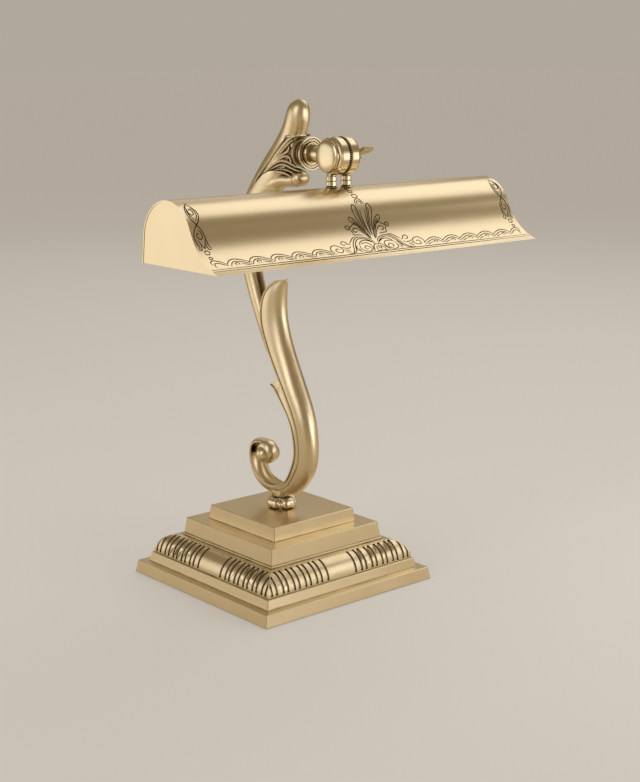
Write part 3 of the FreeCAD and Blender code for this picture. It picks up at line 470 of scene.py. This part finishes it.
# Back scroll, nested in the front one and curled behind, on a turned foot
backScrollSpec = {
    "rows": [(-2.0, 191.8, 0.8, 18.5), (-3.8, 188.2, 1.9, 13.4), (-8.2, 183.0, 4.0, 10.8),
             (-15.0, 176.2, 5.4, 10.2), (-23.2, 167.4, 6.6, 9.8), (-31.8, 157.0, 7.2, 11.4),
             (-39.8, 145.5, 7.4, 15.0), (-46.0, 130.0, 7.4, 18.4), (-43.0, 112.0, 7.4, 18.2),
             (-32.6, 97.4, 7.4, 15.2), (-21.8, 88.4, 7.5, 11.6), (-10.0, 82.6, 7.8, 9.6),
             (2.0, 79.8, 8.2, 9.0), (14.0, 80.0, 8.4, 9.0), (24.6, 82.8, 8.5, 9.0),
             (33.0, 88.2, 8.5, 8.8), (39.0, 96.4, 8.5, 8.2), (42.4, 106.0, 8.4, 7.2),
             (42.8, 117.0, 8.0, 6.0), (39.8, 124.4, 7.6, 4.8), (34.0, 128.4, 7.0, 3.6),
             (27.4, 129.2, 6.0, 2.4), (22.0, 127.8, 4.4, 1.4), (18.6, 126.6, 2.6, 0.8)],
    "corners": 32, "between": 4, "wall": 1.5, "rim": 0.9, "rimFrom": 0, "rimTo": 1, "rimCorners": 8,
    "foot": [(7.6, 78.3), (8.4, 79.4), (9.2, 81.0), (9.8, 83.0), (9.6, 85.5), (7.6, 87.6), (3.0, 88.6)],
    "footPlace": (0, 0, 0),
}
# Drum in the eye of the curl, with a ball on each face and a peg to the curl's wall
ballSpec = {
    "drum": [(0.5, -8.0), (3.4, -7.9), (6.6, -7.4), (9.2, -6.2), (10.9, -4.2), (11.6, -1.6), (11.6, 1.6),
             (10.9, 4.2), (9.2, 6.2), (6.6, 7.4), (3.4, 7.9), (0.5, 8.0)],
    "drumPlace": (0, 21.0, 117.6),
    "ball": [(0.4, -12.6), (2.3, -12.3), (4.3, -11.4), (6.1, -9.9), (7.4, -7.8), (7.9, -5.4), (7.9, 5.4),
             (7.4, 7.8), (6.1, 9.9), (4.3, 11.4), (2.3, 12.3), (0.4, 12.6)],
    "peg": [(3.0, 0.0), (3.0, 21.0)],
    "place": (0, 20.2, 115.8),
    "ballCorners": 48, "drumCorners": 64, "pegCorners": 24,
}


def rimLine(rows, side, radius, first, last):  # the edge of a trough, as (x, y, z, radius)
    line = []
    for i in range(first, len(rows) - last):
        before, row, after = rows[max(i - 1, 0)], rows[i], rows[min(i + 1, len(rows) - 1)]
        runY, runZ = after[0] - before[0], after[1] - before[1]
        run = math.hypot(runY, runZ)
        line.append((side * row[2], row[0] - runZ / run * row[3], row[1] + runY / run * row[3], radius))
    return line


def makeTrough(name, spec):
    rows = fillIn(spec["rows"], spec["between"])
    piece = pullSection(name, rows, spec["corners"], True)
    bendAlong(piece, rows)
    applyModifier(piece, "SOLIDIFY", thickness=spec["wall"] * mm, offset=-1, use_even_offset=False)
    applyModifier(piece, "SUBSURF", levels=1, render_levels=1)
    # the tip, where there is one, makes one rim of the two
    left, right = (rimLine(spec["rows"], side, spec["rim"], spec["rimFrom"], spec["rimTo"])
                   for side in (-1, 1))
    lines = [left[::-1] + [spec["tip"]] + right] if "tip" in spec else [left, right]
    return joinPieces([piece] + [addTube(line, spec["rimCorners"]) for line in lines])


def makeBosses(spec):  # where the upper arm's two screws hold the scroll
    bosses = []
    for (y, z), (towardsY, towardsZ) in spec["bosses"]:
        axis = (0, towardsY, towardsZ)
        bosses.append(addTurned(spec["bossProfile"], (0, y, z), axis, spec["bossCorners"]))
    return bosses


def makeBall(spec):
    ball = addTurned(spec["ball"], spec["place"], (1, 0, 0), spec["ballCorners"])
    applyModifier(ball, "SUBSURF", levels=1, render_levels=1)
    drum = addTurned(spec["drum"], spec["drumPlace"], (1, 0, 0), spec["drumCorners"])
    peg = addTurned(spec["peg"], spec["place"], (0, 1, 0), spec["pegCorners"])
    ball = joinPieces([ball, drum, peg])
    ball.name = "scrollBall"
    return ball


frontScroll = joinPieces([makeTrough("frontScroll", frontScrollSpec)] + makeBosses(frontScrollSpec))
foot = addTurned(backScrollSpec["foot"], backScrollSpec["footPlace"], (0, 0, 1))
backScroll = joinPieces([makeTrough("backScroll", backScrollSpec), foot])
ball = makeBall(ballSpec)
finishPiece(ball, "stand", ["scroll_ball"], brass["castBrass"])
finishPiece(frontScroll, "stand", ["front_scroll"], brass["castBrass"])
finishPiece(backScroll, "stand", ["back_scroll"], brass["castBrass"])
print("scrolls modelled")


# Upper arm: a bar with a channel down its front, a carved field on each cheek and a rolled lobe below
upperArmSpec = {
    "rows": [(-14.2, 184.6, 1.0, 0.9), (-14.0, 185.0, 2.0, 1.8), (-11.5, 188.5, 4.6, 4.2),
             (-6.2, 195.0, 6.2, 5.6), (4.3, 210.0, 7.0, 6.6), (11.0, 220.0, 7.4, 7.0),
             (21.4, 241.0, 8.0, 7.9), (31.8, 264.5, 8.5, 8.4), (40.0, 287.0, 8.8, 8.8),
             (45.0, 309.0, 9.2, 9.4), (44.5, 328.0, 9.8, 10.2), (39.0, 343.5, 10.4, 11.6),
             (29.0, 357.5, 10.8, 14.0), (15.0, 371.5, 10.8, 17.0), (1.5, 386.5, 10.6, 17.0),
             (-11.0, 403.0, 10.4, 14.5), (-19.6, 417.0, 10.2, 12.6), (-24.8, 429.0, 10.2, 12.0),
             (-27.0, 437.5, 9.4, 10.6), (-27.6, 442.6, 7.2, 8.2), (-27.6, 445.8, 4.0, 4.6),
             (-27.6, 446.8, 1.2, 1.4)],
    "corners": 48, "between": 3,
    "channelLow": 200.0, "channelHigh": 347.0, "channelHalf": 4.4, "channelDepth": 5.6,
    "channelLip": 0.4, "channelTaper": 0.75,
    "lobe": [(22.0, 359.0, 9.9, 7.0), (16.0, 365.5, 9.9, 7.4), (6.0, 371.0, 9.6, 8.0),
             (-8.0, 375.2, 8.8, 6.8), (-18.0, 375.6, 8.2, 6.6), (-25.0, 376.6, 8.0, 6.8)],
    "eye": [(0.6, -8.4), (3.0, -8.0), (5.2, -6.6), (6.6, -4.4), (7.1, -1.6), (7.1, 1.6), (6.6, 4.4),
            (5.2, 6.6), (3.0, 8.0), (0.6, 8.4)],
    "lobeBetween": 4, "lobeCorners": 32,
    "eyePlace": (0, -28.2, 377.4), "eyeCorners": 40,
    "drum": [(6.4, 0.0), (7.0, 3.0), (8.2, 6.5), (10.0, 9.6), (11.6, 11.6), (12.4, 12.8), (12.2, 13.6),
             (10.0, 14.0)],
    "drumPlace": (0, -19, 400), "drumCorners": 64,
    "field": [(30.5, 362.4), (24.2, 371.9), (11.9, 384.3), (-0.5, 396.1), (-12.7, 407.6), (-20.0, 412.6),
              (-27.0, 414.2), (-44.0, 414.4), (-44.0, 384.4), (-21.8, 381.6), (-15.1, 382.9),
              (-5.8, 383.4), (3.8, 382.0), (12.6, 378.2), (23.6, 370.2)],
    "fieldFloor": 6.4, "fieldCeiling": 411.0, "fieldSlope": 9.0, "cutterHalf": 7.0, "weld": 0.001,
    "ridges": [
        [(31.7, 363.3, 0.3), (21.8, 374.3, 0.9), (10.6, 384.4, 1.1), (-5.9, 399.7, 1.2),
         (-20.7, 412.9, 0.9)],
        [(27.4, 368.8, 0.3), (6.4, 386.4, 0.9), (-10.0, 401.6, 1.2), (-24.7, 412.7, 1.2),
         (-35.1, 416.0, 0.6)],
        [(20.4, 374.4, 0.4), (3.7, 387.4, 1.1), (-9.9, 396.5, 1.3), (-20.6, 401.3, 1.3),
         (-22.0, 405.5, 0.7)],
        [(16.2, 377.2, 0.4), (-0.4, 388.4, 1.1), (-12.6, 392.5, 1.4), (-24.5, 390.6, 1.3),
         (-32.4, 387.7, 0.7)],
        [(12.0, 379.2, 0.4), (-1.7, 386.0, 1.0), (-13.9, 389.2, 1.2), (-25.8, 386.5, 1.1),
         (-35.0, 384.5, 0.6)],
        [(6.5, 380.4, 0.4), (-7.1, 384.4, 0.9), (-19.2, 384.4, 1.0), (-29.7, 381.6, 0.6)],
        [(24.2, 371.6, 0.3), (8.8, 385.2, 0.8), (-7.6, 400.4, 1.1), (-22.6, 412.6, 1.1),
         (-30.4, 415.2, 0.6)],
        [(23.6, 372.0, 0.3), (5.2, 386.8, 1.0), (-9.9, 399.0, 1.3), (-20.4, 407.0, 1.3),
         (-27.6, 411.4, 0.7)],
        [(8.4, 384.6, 0.5), (-6.0, 392.6, 1.2), (-15.6, 396.4, 1.4), (-22.4, 396.0, 1.2),
         (-25.4, 391.4, 0.8)],
    ],
    "ridgeHeight": 7.3, "lineCorners": 8,
    "rims": [
        [(33.5, 359.4, 0.5), (23.2, 369.9, 1.0), (12.0, 377.5, 1.2), (3.8, 381.0, 1.2), (-5.8, 382.4, 1.2),
         (-15.1, 382.1, 1.1), (-21.8, 380.8, 0.9), (-27.5, 379.0, 0.5)],
        [(31.8, 360.7, 0.5), (24.6, 371.5, 0.8), (11.9, 384.3, 0.9), (-0.5, 396.1, 0.9),
         (-12.7, 407.6, 0.9), (-22.5, 416.4, 0.5)],
    ],
    "rimHeight": 9.0,
    "toe": [(7.8, -19.0, 413.2, 0.6), (8.4, -22.0, 414.0, 1.1), (7.6, -26.5, 414.6, 1.4),
            (5.4, -29.8, 415.0, 1.5), (2.8, -31.0, 415.2, 1.5), (0.0, -31.4, 415.2, 1.5)],
    "toeCorners": 12,
}


def makeUpperArm(spec):
    rows = fillIn(spec["rows"], spec["between"])
    arm = pullSection("upperArm", rows, spec["corners"])
    heights = [0]
    for low, high in zip(rows, rows[1:]):
        heights.append(heights[-1] + math.dist(low[:2], high[:2]))
    inside = [h for h, row in zip(heights, rows) if spec["channelLow"] < row[1] < spec["channelHigh"]]
    pick(arm, lambda centre, normal: centre.y > 0 and abs(centre.x) < spec["channelHalf"]
         and inside[0] < centre.z < inside[-1], "FACE")
    bpy.ops.mesh.inset(thickness=spec["channelLip"] * mm)
    bpy.ops.mesh.extrude_region_move(TRANSFORM_OT_translate={"value": (0, -spec["channelDepth"] * mm, 0)})
    bpy.ops.transform.resize(value=(spec["channelTaper"], 1, 1))
    bpy.ops.object.mode_set(mode="OBJECT")
    applyModifier(arm, "SUBSURF", levels=1, render_levels=1)
    bendAlong(arm, rows)
    cutField(arm, spec)
    lobeRows = fillIn(spec["lobe"], spec["lobeBetween"])
    lobe = pullSection("lobe", lobeRows, spec["lobeCorners"])
    bendAlong(lobe, lobeRows)
    eye = addTurned(spec["eye"], spec["eyePlace"], (1, 0, 0), spec["eyeCorners"])
    drum = addTurned(spec["drum"], spec["drumPlace"], (0, -1, 0), spec["drumCorners"])
    parts = [arm, lobe, eye, drum]
    for side in (-1, 1):
        parts.append(addTube([(side * x, y, z, r) for x, y, z, r in spec["toe"]], spec["toeCorners"]))
    for lines, height in ((spec["ridges"], spec["ridgeHeight"]), (spec["rims"], spec["rimHeight"])):
        for line in lines:
            for side in (-1, 1):
                parts.append(addTube([(side * height, y, z, r) for y, z, r in line], spec["lineCorners"]))
    return joinPieces(parts)


def cutField(arm, spec):  # sink the carved field into both cheeks
    outline = spec["field"]
    for side in (-1, 1):
        data = bpy.data.curves.new("fieldCutter", "CURVE")
        data.dimensions = "2D"
        data.fill_mode = "BOTH"
        data.extrude = spec["cutterHalf"] * mm
        line = data.splines.new("POLY")
        line.points.add(len(outline) - 1)
        line.use_cyclic_u = True
        for point, (y, z) in zip(line.points, outline):
            point.co = (y * mm, z * mm, 0, 1)
        cutter = bpy.data.objects.new("fieldCutter", data)
        bpy.context.scene.collection.objects.link(cutter)
        cutter.rotation_euler = (math.pi / 2, 0, math.pi / 2)
        cutter.location = (side * (spec["fieldFloor"] + spec["cutterHalf"]) * mm, 0, 0)
        clearSelection()
        cutter.select_set(True)
        bpy.context.view_layer.objects.active = cutter
        bpy.ops.object.convert(target="MESH")
        cutter = bpy.context.object
        pick(cutter, lambda co: True)
        bpy.ops.mesh.remove_doubles(threshold=spec["weld"] * mm)
        bpy.ops.mesh.normals_make_consistent(inside=False)
        # the field's ceiling slopes up towards the outside
        pick(cutter, lambda co: co.z * side > 0 and co.y > spec["fieldCeiling"])
        bpy.ops.transform.translate(value=(0, 0, spec["fieldSlope"] * mm))
        bpy.ops.object.mode_set(mode="OBJECT")
        applyModifier(arm, "BOOLEAN", object=cutter, operation="DIFFERENCE", solver="EXACT")
        bpy.data.objects.remove(cutter)


# Fine teeth round the tongue, seen in the gap between the ears and dark with painted shade
teethSpec = {
    "corners": 120, "radius": 16.5, "inner": 0.955, "width": 1.7, "place": (0, -80, 400), "smooth": 20,
}
# Domed cap of the swivel
capSpec = {
    "profile": [(12.6, 0.0), (14.1, 0.2), (14.4, 0.9), (14.2, 1.8), (13.4, 2.6), (11.6, 3.3), (8.8, 3.9),
                (5.6, 4.3), (2.6, 4.5), (0.5, 4.55)],
    "place": (-12.05, -80, 400), "corners": 64,
}


def makeTeeth(spec):
    clearSelection()
    bpy.ops.mesh.primitive_cylinder_add(vertices=spec["corners"], radius=spec["radius"] * mm,
                                        depth=spec["width"] * mm, rotation=(0, math.pi / 2, 0))
    teeth = bpy.context.object
    teeth.name = "swivelTeeth"
    bpy.ops.object.transform_apply(rotation=True)
    step = 2 * math.pi / spec["corners"]
    pick(teeth, lambda co: round(math.atan2(co.z, co.y) / step) % 2 == 1)
    bpy.ops.transform.resize(value=(1, spec["inner"], spec["inner"]), center_override=(0, 0, 0))
    bpy.ops.object.mode_set(mode="OBJECT")
    teeth.location = Vector(spec["place"]) * mm
    clearSelection()
    teeth.select_set(True)
    bpy.ops.object.transform_apply(location=True)
    return teeth


teeth = makeTeeth(teethSpec)
# the teeth are near-black: painted shade in the gap between the ears
finishPiece(teeth, "stand", [], brass["darkPatinaAndShadeBrass"], teethSpec["smooth"])
capDisc = addTurned(capSpec["profile"], capSpec["place"], (-1, 0, 0), capSpec["corners"])
applyModifier(capDisc, "SUBSURF", levels=1, render_levels=1)
capDisc.name = "swivelCap"
finishPiece(capDisc, "shade", ["left_cap"], brass["turnedBrass"])
upperArm = makeUpperArm(upperArmSpec)
finishPiece(upperArm, "stand", ["upper_arm"], brass["castBrass"])
print("upper arm modelled", len(upperArm.data.polygons))

# Engraving on the shade, laid on as fine dark lines: (across, up from the lip). sweep and crest are the two
# arcs of the shade's section: (y, z, radius, from, to). The half list is repeated on the other side.
ornamentSpec = {
    "sweep": (-162.139, 373.23, 55.0, -73.48, -21.93),
    "crest": (-80.6, 340.4, 32.9, 158.07, 90.0),
    "line": 0.46, "flat": 0.5, "taper": 0.6, "corners": 6, "ringSteps": 10, "arcStep": 1.5, "closest": 0.01,
    "rings": [(0, 67.8, 2.8, 2.3), (0, 74.4, 2.2, 1.9), (0, 80.0, 1.5, 1.3), (0, 15.2, 1.5, 1.6)],
    "sideRings": [(173.0, 28.7, 2.3, 1.9), (172.8, 23.0, 1.6, 1.3)],
    "whole": [
        [(-180, 9.4), (-90, 9.4), (0, 9.4), (90, 9.4), (180, 9.4)],
        [(-180, 6.8), (-90, 6.8), (0, 6.8), (90, 6.8), (180, 6.8)],
    ],
    "half": [
        [(175.0, 15.6), (175.6, 18.8), (172.2, 20.4), (166.5, 18.6), (162.0, 15.2)],
        [(173.4, 12.0), (173.6, 15.0), (171.4, 17.4), (167.0, 16.2), (161.0, 12.4)],
        [(52.0, 13.4), (53.2, 17.6), (50.4, 21.6), (45.4, 22.0), (41.2, 19.4), (41.0, 15.4), (44.0, 13.2),
         (47.6, 14.0), (48.4, 16.8), (46.2, 18.4), (44.2, 17.0)],
        [(40.2, 19.6), (37.0, 18.2), (33.0, 17.8), (30.0, 19.4)],
        [(40.0, 16.6), (36.6, 15.4), (33.6, 15.4)],
        [(39.6, 13.8), (36.6, 13.0), (33.6, 13.0)],
        [(33.6, 22.2), (36.6, 21.6), (38.2, 23.6), (36.2, 25.6), (33.2, 24.6), (31.4, 22.2), (29.0, 21.2)],
        [(38.0, 10.4), (32.6, 11.2), (29.2, 15.0), (26.2, 21.0), (22.0, 26.0), (17.0, 28.4), (10.0, 27.6),
         (4.6, 25.0), (1.8, 21.8)],
        [(29.4, 22.6), (26.2, 25.2), (22.6, 28.0), (18.6, 29.4)],
        [(33.0, 10.2), (28.0, 13.0), (24.6, 19.6), (21.2, 24.0), (16.6, 26.6), (10.4, 26.0), (5.4, 23.4),
         (2.4, 20.6)],
        [(20.0, 19.2), (18.2, 22.2), (14.0, 24.4), (9.0, 24.2), (4.2, 21.8), (1.2, 19.4)],
        [(20.0, 19.2), (20.8, 15.4), (18.6, 12.0), (14.0, 11.0), (10.6, 13.0), (10.6, 16.6), (13.6, 18.2),
         (16.2, 16.6), (15.4, 14.2), (13.2, 14.6)],
        [(18.2, 20.6), (14.4, 21.8), (9.8, 21.2), (7.6, 18.0), (8.0, 14.2), (10.2, 11.4)],
        [(24.2, 12.0), (25.4, 14.8), (24.6, 17.6), (22.6, 20.2)],
        [(22.4, 11.0), (23.4, 13.6), (22.6, 16.6)],
        [(8.6, 10.8), (7.0, 14.6), (4.4, 18.2), (1.8, 19.6), (0.0, 18.4)],
        [(4.6, 11.2), (4.2, 14.0), (2.0, 17.2)],
        [(6.2, 10.4), (2.8, 10.6), (0.0, 12.0)],
        [(2.0, 26.0), (5.6, 38.0), (9.6, 48.0), (10.8, 54.2), (9.2, 58.6), (6.4, 57.2), (5.0, 50.0),
         (2.6, 38.0), (1.2, 28.0)],
        [(7.6, 55.0), (5.8, 46.0), (3.4, 35.0)],
        [(2.2, 25.0), (6.2, 36.0), (11.0, 44.0), (15.4, 47.6), (17.8, 46.6), (16.6, 43.6), (12.6, 41.4),
         (8.0, 35.4), (3.2, 26.4)],
        [(15.2, 45.4), (10.2, 40.6), (6.2, 33.6)],
        [(10.8, 39.2), (14.4, 41.4), (17.0, 39.8), (19.8, 38.8), (22.2, 40.4), (24.8, 39.0), (23.6, 36.8),
         (20.4, 36.2), (19.0, 33.6), (18.6, 31.0), (14.0, 30.8), (9.0, 29.8)],
        [(4.0, 26.0), (8.2, 33.0), (12.2, 36.8), (16.2, 37.2), (17.6, 35.0), (15.4, 33.4), (13.4, 34.4)],
        [(22.6, 38.6), (20.6, 37.6), (19.2, 38.2)],
        [(0.8, 30.0), (1.4, 38.0), (2.4, 47.0), (2.8, 53.0)],
        [(4.6, 58.4), (3.6, 62.0), (1.8, 64.0), (0.0, 64.6)],
        [(2.4, 58.8), (1.8, 61.2), (0.0, 62.6)],
        [(171.2, 76.4), (176.2, 71.0), (178.4, 64.0), (176.6, 58.0), (173.0, 52.4), (169.6, 47.0),
         (168.8, 40.0), (168.2, 35.0), (166.8, 32.6)],
        [(172.6, 74.4), (169.2, 68.4), (168.0, 62.6), (170.4, 56.6), (174.6, 52.0), (178.4, 46.0),
         (178.8, 40.0), (177.4, 34.4), (178.8, 31.8)],
        [(174.8, 72.0), (176.6, 66.4), (176.2, 62.0), (173.8, 58.0)],
        [(171.2, 70.0), (169.8, 65.0), (170.4, 60.6), (172.8, 57.2)],
        [(178.8, 31.6), (176.6, 31.4), (175.6, 34.0), (175.2, 37.4), (176.8, 41.0)],
        [(166.8, 32.4), (169.0, 31.4), (170.4, 34.0), (170.6, 37.6), (169.6, 41.0)],
        [(174.4, 37.0), (173.0, 32.8), (171.8, 36.8)],
        [(175.4, 68.6), (176.0, 65.0), (174.2, 62.2), (172.0, 63.0), (171.8, 66.4), (173.2, 68.8),
         (174.2, 66.6)],
        [(174.2, 49.0), (171.8, 47.2), (171.2, 43.2), (173.4, 41.0), (176.0, 43.0), (175.4, 46.2),
         (173.4, 45.6)],
    ],
    # one wave of the border, and where each begins
    "wave": [[(0.0, 14.2), (3.0, 18.0), (8.0, 20.0), (15.0, 18.8), (24.4, 14.2)],
             [(2.4, 11.6), (5.4, 15.8), (9.6, 17.4), (16.0, 15.8), (24.6, 11.6)],
             [(9.2, 12.4), (7.8, 14.2), (9.6, 15.8), (11.8, 14.6), (11.0, 12.6)],
             [(13.6, 14.0), (18.2, 12.6), (21.4, 11.2)]],
    "waveStarts": [162.0, 140.4, 118.8, 97.2, 75.6],
}


def shadeLine(spec):  # the shade's outer section from its lip up to its crest
    line = []
    for y, z, radius, first, last in (spec["sweep"], spec["crest"]):
        steps = math.ceil(abs(last - first) / spec["arcStep"])
        for i in range(steps + 1):
            turn = math.radians(first + (last - first) * i / steps)
            line.append((y + radius * math.cos(turn), z + radius * math.sin(turn)))
    return [point for i, point in enumerate(line)
            if i == 0 or math.dist(point, line[i - 1]) > spec["closest"]]


def makeOrnament(spec):
    half = [list(line) for line in spec["half"]]
    for start in spec["waveStarts"]:
        half += [[(start - across, up) for across, up in line] for line in spec["wave"]]
    strokes = spec["whole"] + half + [[(-across, up) for across, up in line] for line in half]
    rings = spec["rings"] + spec["sideRings"]
    rings += [(-x, up, wide, high) for x, up, wide, high in spec["sideRings"]]
    turns = [2 * k * math.pi / spec["ringSteps"] for k in range(spec["ringSteps"] + 1)]
    for across, up, wide, high in rings:
        strokes.append([(across + wide * math.cos(turn), up + high * math.sin(turn)) for turn in turns])
    tubes = []
    for line in strokes:
        ends = (0, len(line) - 1)
        tubes.append(addTube([(across, 0, up, spec["line"] * (spec["taper"] if i in ends else 1))
                              for i, (across, up) in enumerate(line)], spec["corners"]))
    ornament = joinPieces(tubes)
    ornament.name = "shadeEngraving"
    pick(ornament, lambda co: True)
    bpy.ops.transform.resize(value=(1, spec["flat"], 1), center_override=(0, 0, 0))
    bpy.ops.object.mode_set(mode="OBJECT")
    bendAlong(ornament, shadeLine(spec))
    return ornament


engraving = makeOrnament(ornamentSpec)
finishPiece(engraving, "shade", [], brass["darkPatinaAndShadeBrass"])
print("ornament laid", len(engraving.data.polygons))

# Finish of each node that comes from the frame
nodeFinish = {
    "tierBrass": ["base_plinth", "fluted_tier", "middle_tier"],
    "crownBrass": ["crown_tier"],
    "knotBrass": ["arm_collar"],
    "castBrass": ["front_scroll", "back_scroll", "scroll_ball", "upper_arm"],
    "turnedBrass": ["neck_collar", "swivel_neck", "left_ear", "right_ear", "left_cap", "wing_screw",
                    "wing_washer", "left_post", "right_post"],
    "shadeBrass": ["shade_shell", "left_end_cap", "right_end_cap"],
    "zincPlatedSteel": ["cover_plate", "cover_screws", "tie_tube", "tie_washer", "tie_nut", "arm_screws",
                        "post_washers", "post_nuts", "lamp_bracket", "holder_nuts"],
    "castIron": ["ballast"],
    "woolFelt": ["felt_pad"],
    "blackRubber": ["inlet_bushing"],
    "whiteNylon": ["terminal_block"],
    "phenolic": ["left_lampholder", "right_lampholder"],
    "frostedGlass": ["left_bulb", "right_bulb"],
}
finishes = {**brass, **plain}
for finishName, names in nodeFinish.items():
    for name in names:
        for slot in nodes[name].material_slots:
            slot.material = finishes[finishName]
print("nodes dressed")
